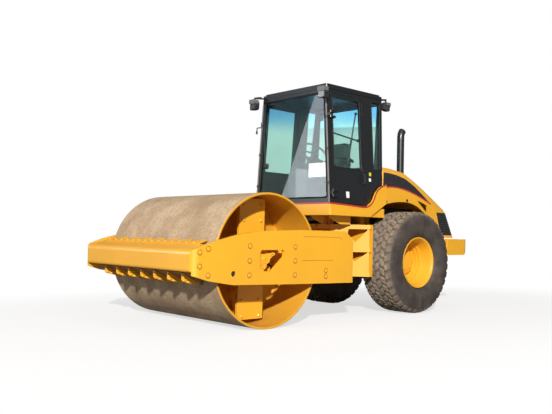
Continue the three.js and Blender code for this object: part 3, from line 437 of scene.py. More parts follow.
class Shape:
    """The mesh of one piece, gathered from several forms. A mark picks the finish of a face."""

    def __init__(self):
        self.verts, self.faces, self.marks = [], [], []

    def face(self, corners, mark=0):
        self.faces.append(corners)
        self.marks.append(mark)

    def rings(self, rings, closed=False, caps=True, mark=0):
        """Joins rings of equally many points into a skin."""
        count = len(rings[0])
        start = len(self.verts)
        for ring in rings:
            self.verts.extend(Vector(v) for v in ring)
        for i in range(len(rings) if closed else len(rings) - 1):
            a, b = start + i * count, start + ((i + 1) % len(rings)) * count
            for k in range(count):
                n = (k + 1) % count
                self.face([a + k, a + n, b + n, b + k], mark)
        if caps and not closed:
            last = start + (len(rings) - 1) * count
            self.face([start + k for k in reversed(range(count))], mark)
            self.face([last + k for k in range(count)], mark)

    def turned(self, profile, centre, axis=Y, segments=48, mark=0, marks=None, closed=True, start=0.0):
        """A turned form: the profile holds (radius, place along the axis) pairs."""
        u, v = square_to(axis)
        count, first = len(profile), len(self.verts)
        for k in range(segments):
            t = start + 2 * pi * k / segments
            out = u * cos(t) + v * sin(t)
            self.verts.extend(centre + out * r + axis * along for r, along in profile)
        for k in range(segments):
            a, b = first + k * count, first + ((k + 1) % segments) * count
            for j in range(count if closed else count - 1):
                n = (j + 1) % count
                self.face([a + j, b + j, b + n, a + n], marks[j] if marks else mark)

    def disc(self, profile, centre, axis, segments=24, mark=0, start=0.0):
        """A solid turned form: its profile runs from the axis out and back to the axis."""
        self.turned(profile, centre, axis, segments, mark, None, False, start)

    def cap(self, centre, axis, radius, low, high, segments=24):
        self.disc([(0, low), (radius, low), (radius, high), (0, high)], centre, axis, segments)

    def tube(self, points, radius, sides=12, mark=0, closed=False):
        """A round tube along a line, its rings carried along without twist."""
        p = [Vector(q) for q in points]
        n = len(p)
        ways = [(p[(i + 1) % n] - p[i - 1]).normalized() if closed else way_at(p, i) for i in range(n)]
        u, _ = square_to(ways[0])
        rings = []
        for here, way in zip(p, ways):
            u = (u - way * u.dot(way)).normalized()
            v = way.cross(u)
            turns = (2 * pi * k / sides for k in range(sides))
            rings.append([here + (u * cos(t) + v * sin(t)) * radius for t in turns])
        self.rings(rings, closed=closed, mark=mark)

    def plate(self, outline, origin, u, v, depth, mark=0):
        """A flat plate: an outline in the plane of u and v, pushed by a depth along their normal."""
        push = u.cross(v).normalized() * depth
        face = [origin + u * q[0] + v * q[1] for q in outline]
        self.rings([face, [q + push for q in face]], mark=mark)

    def block(self, low, high, mark=0):
        self.plate(rectangle(low[0], low[1], high[0], high[1]), Z * low[2], X, Y, high[2] - low[2], mark)

    def bolt(self, at, out, size, washer=True, mark=0):
        """A hexagon head with its chamfer and washer; size is the width across its corners."""
        out = out.normalized()
        r, base = size / 2, -0.001
        if washer:
            base = 0.004
            rim = [(0, -0.001), (r * 1.3, -0.001), (r * 1.3, 0.003), (r * 1.2, 0.004), (0, 0.004)]
            self.disc(rim, at, out, 20, mark)
        top = base + size * 0.34
        head = [(0, base), (r, base), (r, base + size * 0.28), (r * 0.86, top), (0, top)]
        self.disc(head, at, out, 6, mark, rng.random())

    def make(self, name, body, finishes, bevel=0.0, segments=2, angle=35, replaces=()):
        mesh = bpy.data.meshes.new(name)
        mesh.from_pydata([v[:] for v in self.verts], [], self.faces)
        finishes = finishes if isinstance(finishes, list) else [finishes]
        for finish in finishes:
            mesh.materials.append(finish)
        mesh.polygons.foreach_set("material_index", self.marks)
        work = bmesh.new()
        work.from_mesh(mesh)
        bmesh.ops.remove_doubles(work, verts=work.verts, dist=1e-6)
        bmesh.ops.dissolve_degenerate(work, dist=1e-7, edges=work.edges)
        bmesh.ops.recalc_face_normals(work, faces=work.faces)
        work.to_mesh(mesh)
        work.free()
        mesh.shade_smooth()
        mesh.set_sharp_from_angle(angle=radians(angle))
        piece = bpy.data.objects.new(name, mesh)
        bpy.context.scene.collection.objects.link(piece)
        if bevel:
            soften(piece, bevel, segments, angle)
        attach(piece, body)
        if replaces:
            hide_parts(*replaces)
        return piece


def soften(piece, width, segments=2, angle=35):
    made = piece.modifiers.new("rounded_edges", "BEVEL")
    made.width = width
    made.segments = segments
    made.limit_method = "ANGLE"
    made.angle_limit = radians(angle)
    made.harden_normals = False
    made.use_clamp_overlap = True


def dress(node, finish, bevel=0.0, segments=2):
    """Gives a CAD node its finish and rounds its edges."""
    piece = nodes[node]
    piece.data.materials.clear()
    piece.data.materials.append(finish)
    weld = piece.modifiers.new("one_skin", "WELD")
    weld.merge_threshold = 0.00005
    if bevel:
        soften(piece, bevel, segments)
    even = piece.modifiers.new("even_shade", "WEIGHTED_NORMAL")
    even.keep_sharp = True


# ---------------------------------------------------------------- CAD nodes that keep their shape
for node, finish, bevel, *segments in (
    ("front_beam", yellow, 0.004), ("rear_beam", yellow, 0.004), ("scraper_upper", yellow, 0.0015),
    ("hitch_nose", yellow, 0.004), ("rear_frame", yellow, 0.003), ("cab_deck", yellow, 0.005),
    ("counterweight", yellow, 0.045, 5), ("rear_axle", yellow, 0.003), ("engine_hood", yellow, 0.005),
    # The lower scraper strip wears the painted shade for the beam's shadow.
    ("scraper_lower", shade_painted_yellow, 0.0015), ("hitch_link", iron, 0.003), ("cab_frame", black, 0.006, 3),
    ("cab_roof", black, 0.006, 3), ("windshield", glass, 0), ("rear_window", glass, 0),
    ("seat_base", plastic, 0.006), ("steering_console", plastic, 0.012, 3), ("arm_console", plastic, 0.012, 3),
    ("engine_block", iron, 0.01), ("rear_grille", black, 0.002),
):
    dress(node, finish, bevel, *segments)
for name, _ in SIDES:
    for node, finish, bevel, *segments in (
        ("side_plate_", yellow, 0.005, 3), ("drum_support_", yellow, 0.004), ("steering_barrel_", yellow, 0.003),
        ("steering_rod_", chrome, 0.001), ("door_", black, 0.004), ("door_glass_", glass, 0),
        ("quarter_glass_", glass, 0),
    ):
        dress(node + name, finish, bevel, *segments)


# ---------------------------------------------------------------- drum
def drum_skin():
    """The rolled shell: dusty steel outside, end rings and inside in a darker yellow that is painted shade."""
    r, h, wall, c = DRUM_R - 0.0005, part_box("drum_shell")[1].y, 0.025, 0.0035
    profile = [
        (r, -h + c), (r, -h / 2), (r, 0), (r, h / 2), (r, h - c), (r - c, h), (r - wall + c, h), (r - wall, h - c),
        (r - wall, h / 2), (r - wall, -h / 2), (r - wall, -h + c), (r - wall + c, -h), (r - c, -h),
    ]
    s = Shape()
    s.turned(profile, DRUM_C, Y, 160, marks=[0] * 4 + [1] * 9)
    s.make("drum_skin", "drum", [drum_steel, shaded_inner_yellow], replaces=["drum_shell"])


def drum_bulkhead(name, side):
    low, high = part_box("drum_head_" + name)
    inner = min(abs(low.y), abs(high.y))
    face, hub, rim = inner + 0.03, inner + 0.03 + 0.03, DRUM_R - 0.0258
    out = Y * side
    profile = [
        (0.0912, inner), (rim, inner), (rim, face + 0.012), (rim - 0.004, face + 0.009), (rim - 0.012, face),
        (0.42, face), (0.412, face + 0.004), (0.36, face + 0.004), (0.352, face), (0.205, face),
        (0.188, face + 0.008), (0.182, hub - 0.006), (0.176, hub), (0.0912, hub),
    ]
    s = Shape()
    s.turned([(r, side * y) for r, y in profile], DRUM_C, Y, 96)
    for way in around(16, 0.5):
        s.bolt(DRUM_C + way * 0.386 + out * (face + 0.003), out, 0.036)
    for way in around(8):
        s.bolt(DRUM_C + way * 0.14 + out * hub, out, 0.03)
    gusset = rounded([(0.45, 0.0), (rim - 0.002, 0.0), (rim - 0.002, 0.11)], 0.01, 3)
    for t in (radians(35 + 120 * k) for k in range(3)):
        u, v = X * cos(t) + Z * sin(t), X * -sin(t) + Z * cos(t)
        s.plate(gusset, DRUM_C + out * (face - 0.001) - v * 0.006, u, out, 0.012)
    # The bulkhead is in the darker yellow of painted shade.
    s.make("drum_bulkhead_" + name, "drum", shaded_inner_yellow, 0.0015, replaces=["drum_head_" + name])


POST_IN = 0.727
POST_OUT = POST_IN + 0.04


def drum_post_trim(name, side):
    """What is bolted to a drum post: rubber buffers behind it, the motor or bearing cover and its hoses."""
    out = Y * side
    buffer = [(0, -0.001), (0.034, -0.001), (0.03, -0.014), (0.03, -0.032), (0.034, -0.044), (0, -0.044)]
    s = Shape()
    for way in around(12, 0.5):
        s.disc(buffer, DRUM_C + Vector((way.x * 0.155, 0, way.z * 0.27)) + out * POST_IN, out, 20)
    s.make("drum_buffers_" + name, "front_yoke", hose_rubber)
    s = Shape()
    plate = [(0.088, -0.064), (0.3, -0.064), (0.304, -0.06), (0.304, -0.047), (0.3, -0.043), (0.088, -0.043)]
    s.turned([(r, side * q) for r, q in plate], DRUM_C + out * POST_IN)
    # The buffer plate is in the darker yellow of painted shade.
    s.make("drum_buffer_plate_" + name, "front_yoke", shaded_inner_yellow)
    s = Shape()
    for x in (-0.13, 0.13):
        for z in (0.12, 0.30, 1.22, 1.40):
            s.bolt(ahead(x, side * POST_OUT, z), out, 0.034)
    s.make("drum_post_bolts_" + name, "front_yoke", yellow)
    s = Shape()
    y = POST_OUT + 0.149
    body = [
        (0, y + 0.06), (0.05, y + 0.06), (0.06, y + 0.05), (0.065, y + 0.012), (0.105, y + 0.01), (0.112, y),
        (0.112, y - 0.03), (0.12, y - 0.035), (0.12, y - 0.1), (0, y - 0.1),
    ]
    s.disc([(r, side * q) for r, q in body], DRUM_C, Y, 40)
    for way in around(8, 0.5):
        s.bolt(DRUM_C + way * 0.09 + out * (y + 0.01), out, 0.022)
    lobe = rounded([(-0.09, -0.05), (0.09, -0.05), (0.1, 0.06), (-0.1, 0.06)], 0.03)
    s.plate(lobe, ahead(0, side * (y + 0.012), DRUM_R - 0.12), X, Z, -side * 0.06)
    for x, z in ((-0.05, -0.17), (0.05, -0.17), (-0.08, 0.03)):
        s.disc([(0, -0.002), (0.02, -0.002), (0.02, 0.03), (0.014, 0.034), (0, 0.034)],
               ahead(x, side * (y - 0.02), DRUM_R + z), (out * 0.5 - Z).normalized(), 6)
    s.make("drum_motor_" + name, "front_yoke", yellow, 0.002)
    s = Shape()
    for k, (x, z, sag) in enumerate(((-0.05, -0.16, 0.0), (0.05, -0.15, 0.02), (-0.08, 0.03, 0.02))):
        start = ahead(x, side * (y - 0.02), DRUM_R + z)
        rise = 0.05 * k
        path = [
            start, start + Vector((-0.01, side * 0.01, -0.03 - sag)),
            ahead(-0.32, side * (y + 0.01), 0.6 - sag + 0.03 * k),
            ahead(-0.62, side * (y + 0.03 + 0.012 * k), 0.66 + rise), ahead(-0.9, side * (y + 0.03), 0.78 + rise),
            ahead(-1.06, side * (y - 0.01), 0.84 + rise),
        ]
        s.tube(smooth_path(path), 0.0135, 10)
    s.make("drum_hoses_" + name, "front_yoke", hose_rubber)


drum_skin()
for name, side in SIDES:
    drum_bulkhead(name, side)
    drum_post_trim(name, side)


# ---------------------------------------------------------------- yoke
def plate_fasteners(name, side):
    """Bolts on washers in painted seam shade, a shadow ring round each head; two weld seams behind the window; and a
    dark rubber disc sunk in the round hole, painted shade for the dark inside it.
    """
    inner, outer = (q.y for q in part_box("side_plate_left"))
    out = Y * side
    s = Shape()
    for x, z in (
        (1.010, 0.861), (0.903, 0.898), (1.009, 0.718), (0.900, 0.624), (0.345, 0.930), (0.345, 0.770), (0.345, 0.615),
        (-0.335, 0.924), (-0.335, 0.764), (-0.335, 0.604), (-0.847, 0.646), (-0.847, 0.575),
    ):
        at = ahead(x, side * outer, z)
        # The washer is in seam shade: a painted shadow ring round the bolt head.
        s.disc([(0, -0.001), (0.031, -0.001), (0.031, 0.001), (0.029, 0.0015), (0, 0.0015)], at, out, 28, 1)
        s.disc([(0, 0.001), (0.024, 0.001), (0.024, 0.005), (0.021, 0.007), (0, 0.007)], at, out, 6)
    y = side * (outer - 0.0005)
    upper = [ahead(-0.47 - 0.6 * k / 30, y, 1.045) for k in range(31)]
    upper += [ahead(-1.07 - 0.02 * k, y, 1.045 - 0.004 * k * k) for k in range(1, 4)]
    for seam in (upper, [ahead(-0.45 - 0.52 * k / 30, y, 0.767) for k in range(31)]):
        s.tube(seam, 0.0025, 6, mark=1)
    # A dark rubber disc sunk in the round hole: painted shade for the dark seen through it.
    s.disc([(0.0, -0.026), (0.0305, -0.026), (0.0305, -0.014), (0.02, -0.019), (0.0, -0.019)],
           ahead(0.566, side * outer, 0.634), out, 32, 2)
    s.make("plate_fasteners_" + name, "front_yoke", [yellow, seam_shade, hose_rubber])
    s = Shape()
    y = inner - 0.012
    casting = [
        (0.34, 0.7), (0.34, 0.8), (0.21, 0.835), (0.15, 0.83), (0.125, 0.845), (0.08, 0.838), (0.045, 0.852),
        (0.0, 0.846), (-0.06, 0.862), (-0.075, 0.835), (-0.03, 0.815), (0.0, 0.79), (0.012, 0.755), (0.05, 0.73),
        (0.06, 0.69), (0.09, 0.668), (0.1, 0.63), (0.2, 0.62),
    ]
    s.plate(rounded(casting, 0.01, 3), ahead(0, side * y, 0), X, Z, side * 0.024)
    for x, z, r in ((0.15, 0.74, 0.045), (0.09, 0.79, 0.026), (0.17, 0.68, 0.022), (0.0, 0.835, 0.018)):
        s.disc([(0, -0.002), (r, -0.002), (r * 0.92, 0.006), (r * 0.6, 0.009), (0, 0.009)], ahead(x, side * y, z), out)
    for x, z in ((0.17, 0.8), (0.08, 0.75), (0.12, 0.69), (-0.03, 0.846)):
        s.bolt(ahead(x, side * y, z), out, 0.022)
    s.make("hose_clamp_casting_" + name, "front_yoke", yellow, 0.003)


def scraper_trim():
    """A bolted fin under each lower tooth, and the bolts that hold the upper strip."""
    teeth = 7
    fin = [(0.0, 0.0), (-0.225, -0.1235), (-0.208, -0.142), (-0.07, -0.112), (-0.012, -0.094), (0.0, -0.08)]
    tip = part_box("scraper_lower")[1]
    front, half, root_z = tip.x - 0.004, tip.y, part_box("front_beam")[0].z - 0.0145
    fins, bolts = Shape(), Shape()
    for k in range(teeth):
        y = -half + (k + 0.5) * 2 * half / teeth
        fins.plate(rounded(fin, 0.008, 2), Vector((front, y + 0.007, root_z)), X, Z, 0.014)
        for x, z in ((-0.016, -0.022), (-0.022, -0.052), (-0.03, -0.084), (-0.09, -0.1)):
            for side in (1, -1):
                bolts.bolt(Vector((front + x, y + side * 0.0075, root_z + z)), Y * side, 0.026)
    fins.make("scraper_fins", "front_yoke", yellow, 0.001)
    low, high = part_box("scraper_upper")
    slope = Vector((-0.225, 0, 0.065)).normalized()
    up = Y.cross(slope).normalized()
    for k in range(2 * teeth):
        y = -half + (k + 0.5) * half / teeth
        bolts.bolt(Vector((high.x, y, low.z)) + slope * 0.035 + up * 0.0165, up, 0.026)
    bolts.make("scraper_bolts", "front_yoke", yellow)


for name, side in SIDES:
    plate_fasteners(name, side)
scraper_trim()


# ---------------------------------------------------------------- wheels
TREAD_R = 0.7148
# Half of the tyre's section, from its bead to the middle of the tread: (radius, distance from the middle).
CARCASS = [
    (0.3315, 0.2045), (0.352, 0.2045), (0.364, 0.207), (0.372, 0.226), (0.40, 0.250), (0.44, 0.2655), (0.50, 0.2735),
    (0.56, 0.2735), (0.61, 0.268), (0.648, 0.2565), (0.676, 0.236), (0.690, 0.207), (0.6945, 0.17), (0.696, 0.1),
    (0.6965, 0.0),
]


def carcass_radius(across):
    """The carcass's radius where a tread lug stands, at a distance from the tyre's middle plane."""
    a = abs(across)
    for (r0, y0), (r1, y1) in zip(CARCASS[8:], CARCASS[9:]):
        if y1 <= a <= y0:
            return r1 + (r0 - r1) * (a - y1) / (y0 - y1)
    return CARCASS[-1][0]


def tread_lug(shape, centre, angle, across, length, width, skew, height):
    """One lug: a skewed, round-cornered block that follows the carcass, narrower at its top."""
    corners = rectangle(-length / 2, -width / 2, length / 2, width / 2)
    outline = rounded([(u + v * skew, v) for u, v in corners], 0.022, 3)
    rings = []
    for scale, lift in ((1.0, 0.0), (0.95, 0.72), (0.92, 0.92), (0.84, 1.0), (0.42, 1.0)):
        ring = []
        for u, v in outline:
            y, t = across + v * scale, angle + u * scale / TREAD_R
            r = min(carcass_radius(y) - 0.004 + lift * (height + 0.004), TREAD_R)
            ring.append(centre + Vector((sin(t) * r, y, cos(t) * r)))
        rings.append(ring)
    shape.rings(rings, caps=False)
    top = len(shape.verts) - len(outline)
    shape.face([top + k for k in range(len(outline))])


def tyre(name):
    count = 36
    centre = Vector((AXLE.x, middle("tyre_" + name).y, AXLE.z))
    s = Shape()
    s.turned([*CARCASS, *((r, -y) for r, y in reversed(CARCASS[:-1]))], centre, Y, 120)
    for j, (across, length, width, skew) in enumerate((
        (-0.212, 0.092, 0.086, 0.35), (-0.125, 0.098, 0.078, -0.75), (-0.041, 0.098, 0.076, 0.75),
        (0.041, 0.098, 0.076, -0.75), (0.125, 0.098, 0.078, 0.75), (0.212, 0.092, 0.086, -0.35),
    )):
        for k in range(count):
            tread_lug(s, centre, 2 * pi * (k + 0.5 * (j % 2)) / count, across, length, width, skew, 0.0195)
    for t in (2 * pi * k / 72 for k in range(72)):
        out = Vector((sin(t), 0, cos(t)))
        for flank in (1, -1):
            line = ((0.62, 0.266), (0.648, 0.2565), (0.674, 0.238))
            s.tube([centre + out * r + Y * flank * (y - 0.0035) for r, y in line], 0.006, 6)
    s.make("tyre_tread_" + name, "wheel_" + name, tyre_rubber, replaces=["tyre_" + name], angle=50)


def wheel_rim(name, side):
    low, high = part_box("rim_" + name)
    outer = max(abs(low.y), abs(high.y))
    inner, disc = outer - 0.44, 0.69
    barrel = [
        (0.0615, disc), (0.27, disc), (0.296, disc - 0.006), (0.305, disc - 0.06), (0.305, inner + 0.012),
        (0.31, inner), (0.356, inner), (0.3575, inner + 0.004), (0.3575, inner + 0.012), (0.35, inner + 0.0145),
        (0.3305, inner + 0.0145),
        (0.3305, outer - 0.0145), (0.35, outer - 0.0145), (0.3575, outer - 0.012), (0.3575, outer - 0.003),
        (0.354, outer), (0.338, outer - 0.002), (0.326, outer - 0.014), (0.322, outer - 0.05), (0.3165, outer - 0.06),
        (0.3165, outer - 0.11), (0.311, outer - 0.12), (0.311, outer - 0.16), (0.305, outer - 0.172),
    ]
    dish = [
        (0.302, 0.125), (0.284, 0.12), (0.28, 0.082), (0.262, 0.076), (0.256, 0.03), (0.245, 0.025), (0.188, 0.025),
        (0.176, 0.028), (0.17, 0.075), (0.155, 0.088), (0.12, 0.092), (0.112, 0.104), (0.06, 0.108), (0, 0.108),
        (0, 0.056), (0.0615, 0.056),
    ]
    s = Shape()
    s.disc([*((r, side * y) for r, y in barrel), *((r, side * (disc + y)) for r, y in dish)], WHEEL_C, Y, 96)
    for way in around(10):
        s.bolt(WHEEL_C + way * 0.214 + Y * side * (disc + 0.025), Y * side, 0.036)
    for way in around(8, 0.5):
        s.bolt(WHEEL_C + way * 0.137 + Y * side * (disc + 0.089), Y * side, 0.02, washer=False)
    valve = WHEEL_C + Vector((0.296, side * (disc + 0.06), 0))
    s.tube([valve, valve + Vector((-0.012, side * 0.03, 0)), valve + Vector((-0.014, side * 0.075, 0))], 0.006, 8)
    s.make("wheel_rim_" + name, "wheel_" + name, yellow, replaces=["rim_" + name], angle=40)


for name, side in SIDES:
    tyre(name)
    wheel_rim(name, side)


# ---------------------------------------------------------------- deck, stripes and bands
DECK_TOP = 1.45
DECK_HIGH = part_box("cab_deck")[1]
HOOD_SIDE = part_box("engine_hood")[1].y
RIM_LINE = [
    (-1.30, 1.482), (-1.5, 1.475), (-1.7, 1.467), (-1.88, 1.457), (-1.97, 1.455), (-2.03, 1.463), (-2.085, 1.487),
    (-2.132, 1.526), (-2.165, 1.572), (-2.190, 1.625), (-2.232, 1.690), (-2.311, 1.748), (-2.425, 1.788),
]


def side_path(line, per, lift=0.0):
    """A smooth line through (x ahead of the drum's axle, z) points."""
    return smooth_path([(DRUM_X + x, z + lift) for x, z in line], per)


def ribbon(shape, line, width, face_y, side, depth=0.0012):
    """A flat stripe that follows a line of (x, z) points on an upright face."""
    p = [Vector((q[0], 0, q[1])) for q in line]
    y, skin = side * face_y, side * depth
    rings = []
    for i, here in enumerate(p):
        way = way_at(p, i)
        across = Vector((-way.z, 0, way.x)) * width / 2
        a, b = here + across, here - across
        section = ((a, y - skin * 0.3), (a, y + skin), (b, y + skin), (b, y - skin * 0.3))
        rings.append([Vector((q.x, at, q.z)) for q, at in section])
    shape.rings(rings)


def deck_rim():
    """The red edging round the deck's top edge, on a yellow rim that deepens to the front."""
    line = side_path(RIM_LINE, 5)
    base = DECK_TOP - 0.012
    y0, y1 = DECK_HIGH.y - 0.016, DECK_HIGH.y + 0.0008
    s = Shape()
    for _, side in SIDES:
        ribbon(s, line, 0.022, DECK_HIGH.y, side, 0.0016)
        s.rings([[Vector((q.x, side * y, z)) for y, z in ((y0, base), (y1, base), (y1, q.y), (y0, q.y))]
                 for q in line if q.x > DRUM_X - 2.0], mark=1)
    x, y, high = DECK_HIGH.x, DECK_HIGH.y - 0.004, RIM_LINE[0][1]
    s.block((x - 0.016, -y, base), (x + 0.0008, y, high), 1)
    s.block((x - 0.010, -y, high - 0.009), (x + 0.002, y, high + 0.011))
    s.make("deck_rim", "rear_frame", [red_stripe, yellow])


def hood_side_bands(name, side):
    """The black band on the hood's side, pointed at its rear, with the red stripe under it."""
    red = [(-2.457, 1.752), (-2.6, 1.775), (-2.8, 1.772), (-3.0, 1.745), (-3.2, 1.700), (-3.4, 1.640), (-3.59, 1.575)]
    top = [(-3.59, 1.575), (-3.4, 1.690), (-3.2, 1.802), (-3.0, 1.892), (-2.8, 1.944), (-2.6, 1.966), (-2.457, 1.972)]
    outline = [*side_path(red, 6, 0.01)[:-1], *side_path(top, 6)[1:]]
    s = Shape()
    s.rings([[Vector((q[0], side * (HOOD_SIDE + proud), q[1])) for q in outline] for proud in (-0.0004, 0.0008)])
    s.make("hood_band_" + name, "hood", black_band)
    s = Shape()
    ribbon(s, side_path(red, 6), 0.02, HOOD_SIDE, side)
    s.make("hood_stripe_" + name, "hood", red_stripe)


deck_rim()
for name, side in SIDES:
    hood_side_bands(name, side)


# ---------------------------------------------------------------- cab
CAB_FRONT = DRUM_X - 1.34
CAB_BASE = 1.4503
CAB_TOP = 3.0


def wall_y(z):
    """How far the cab's leaning side wall stands from the middle at a height."""
    share = (z - CAB_BASE) / (CAB_TOP - CAB_BASE)
    return 0.736 + share * (0.626 - 0.736)


def side_point(side, proud):
    return lambda q: Vector((DRUM_X + q[0], side * (wall_y(q[1]) + proud), q[1]))


def front_point(q):
    return Vector((CAB_FRONT - 0.004, q[0], q[1]))


def rear_point(q):
    share = (q[1] - CAB_BASE) / (CAB_TOP - CAB_BASE)
    return Vector((DRUM_X - 2.4 + share * (-2.476 + 2.4) + 0.004, q[0], q[1]))


def gasket(name, body, *seals):
    """Closed rubber seals along outlines on the cab's walls, each with its own radius."""
    s = Shape()
    for outline, place_point, radius in seals:
        s.tube([place_point(q) for q in outline], radius, 8, closed=True)
    s.make(name, body, seal_rubber)


def sticker(shape, x, z, width, height, place_point, side, mark=0):
    """A thin blank label on a side wall."""
    corners = [(x, z), (x, z + height), (x - width, z + height), (x - width, z)]
    face = [place_point(q) for q in rounded(corners, 0.004, 2)]
    normal = (face[1] - face[0]).cross(face[-1] - face[0]).normalized()
    if normal.y * side < 0:
        normal.negate()
    shape.rings([[q - normal * 0.001 for q in face], [q + normal * 0.0006 for q in face]], mark=mark)


def door_bar(name, side):
    """The grab bar across the driver's own door and the strut that stays it."""
    inside = side_point(side, -0.05)
    a, b = inside((-1.45, 2.43)), inside((-1.975, 2.37))
    stay = [inside((-1.955, 2.74)), inside((-1.86, 2.4)), inside((-1.755, 2.04))]
    s = Shape()
    s.tube([a, (a * 2 + b) / 3, (a + b * 2) / 3, b], 0.011, 10)
    s.tube(stay[:2], 0.009, 8)
    s.tube(stay[1:], 0.014, 8)
    for q in (a, b, stay[0], stay[2]):
        s.cap(q, Y * side, 0.02, -0.006, 0.012, 16)
    s.make("door_bar_" + name, "door_" + name, plastic)


def cab_side_trim(name, side):
    """Seals, the door's pull, pressed panel and blank stickers, and a pale grey tube up the front corner whose colour
    is a painted highlight along the pillar's edge.
    """
    door, out = "door_" + name, Y * side
    on_wall, sunk = side_point(side, 0.0), side_point(side, -0.004)
    pane = [(-1.438, 1.965), (-1.438, 2.902), (-1.987, 2.902), (-1.987, 1.965)]
    quarter = [(-2.235, 1.985), (-2.235, 2.945), (-2.428, 2.945), (-2.38, 1.985)]
    gasket("door_seal_" + name, door, (rounded(pane, 0.03, 6), sunk, 0.011))
    gasket("quarter_seal_" + name, "rear_frame", (rounded(quarter, 0.024, 6), sunk, 0.011))
    s = Shape()
    a, b = on_wall((-1.995, 1.9)), on_wall((-1.995, 1.78))
    s.tube(smooth_path([a - out * 0.004, a + out * 0.03, a + out * 0.042 - Z * 0.02,
                        b + out * 0.042 + Z * 0.02, b + out * 0.03, b - out * 0.004], 5), 0.009, 10)
    s.disc([(0, -0.002), (0.024, -0.002), (0.022, 0.01), (0.012, 0.014), (0, 0.014)], on_wall((-1.995, 1.955)), out)
    s.make("door_handle_" + name, door, plastic)
    s = Shape()
    rings = []
    for proud, d, r in ((-0.001, 0.0, 0.05), (0.004, 0.02, 0.04)):
        corners = [(-1.47 - d, 1.53 + d), (-1.47 - d, 1.9 - d), (-1.93 + d, 1.9 - d), (-1.93 + d, 1.53 + d)]
        rings.append([side_point(side, proud)(q) for q in rounded(corners, r, 6)])
    s.rings(rings)
    s.make("door_pressing_" + name, door, black, 0.002)
    if side > 0:
        door_bar(name, side)
    s = Shape()
    sticker(s, -1.652, 1.57, 0.06, 0.082, side_point(side, 0.0045), side)
    s.make("door_sticker_" + name, door, blank_white)
    s = Shape()
    sticker(s, -2.137, 1.894, 0.044, 0.048, side_point(side, 0.0005), side)
    sticker(s, -2.132, 1.818, 0.044, 0.045, side_point(side, 0.0005), side, 1)
    s.make("post_stickers_" + name, "rear_frame", [blank_yellow, blank_white])
    s = Shape()
    # A pale grey tube up the front corner whose colour is a painted highlight along the pillar's edge.
    heights = (1.49 + 0.0717 * k for k in range(21))
    s.tube([Vector((CAB_FRONT + 0.003, side * (wall_y(z) - 0.012), z)) for z in heights], 0.011, 10)
    s.make("corner_highlight_trim_" + name, "rear_frame", corner_highlight_grey)
    s = Shape()
    for z in (1.75, 2.2, 2.62):
        at = Vector((CAB_FRONT + 0.004, side * (wall_y(z) - 0.012), z))
        s.turned([(0.008, -0.014), (0.0165, -0.014), (0.0165, 0.014), (0.008, 0.014)], at, Z, 16)
    s.make("corner_clips_" + name, "rear_frame", plastic)


def windshield_trim():
    """The screens' seals, the wiper, the blank card and the bracket for a mirror."""
    half_low, half_high = wall_y(1.56) - 0.05, wall_y(2.95) - 0.05
    front = rounded([(-half_low, 1.56), (half_low, 1.56), (half_high, 2.95), (-half_high, 2.95)], 0.04, 6)
    rear = rounded(rectangle(-0.575, 2.03, 0.575, 2.93), 0.04, 6)
    gasket("screen_seals", "rear_frame", (front, front_point, 0.012), (rear, rear_point, 0.012))
    base = Vector((CAB_FRONT - 0.013, -0.53, 2.04))
    s = Shape()
    s.disc([(0, -0.01), (0.032, -0.01), (0.032, 0.022), (0.022, 0.03), (0, 0.03)], base, X)
    s.block((base.x, base.y - 0.05, base.z - 0.05), (base.x + 0.012, base.y + 0.03, base.z + 0.03))
    arm = ((0.022, 0, 0), (0.026, -0.02, 0.12), (0.022, -0.045, 0.3), (0.016, -0.06, 0.42))
    s.tube(smooth_path([base + Vector(q) for q in arm], 5), 0.006, 8)
    blade = ((0.012, -0.048, 0.16), (0.011, -0.062, 0.42), (0.012, -0.072, 0.68))
    s.tube([base + Vector(q) for q in blade], 0.005, 8)
    s.make("windshield_wiper", "rear_frame", plastic)
    s = Shape()
    card = rectangle(0.315, 1.835, 0.627, 2.02)
    s.rings([[Vector((CAB_FRONT - back, y, z)) for y, z in card] for back in (0.0152, 0.0142)])
    s.make("screen_card", "rear_frame", white_card)
    s = Shape()
    at = Vector((CAB_FRONT - 0.01, -wall_y(2.6), 2.6))
    end = at + Vector((0.03, -0.08, -0.07))
    s.tube(smooth_path([at, at + Vector((0.02, -0.05, 0.0)), at + Vector((0.03, -0.075, -0.01)), end], 5), 0.008, 8)
    s.cap(end, Z, 0.014, -0.02, 0.02, 12)
    s.cap(at, -Y, 0.02, -0.004, 0.006, 16)
    s.make("mirror_bracket", "rear_frame", plastic)


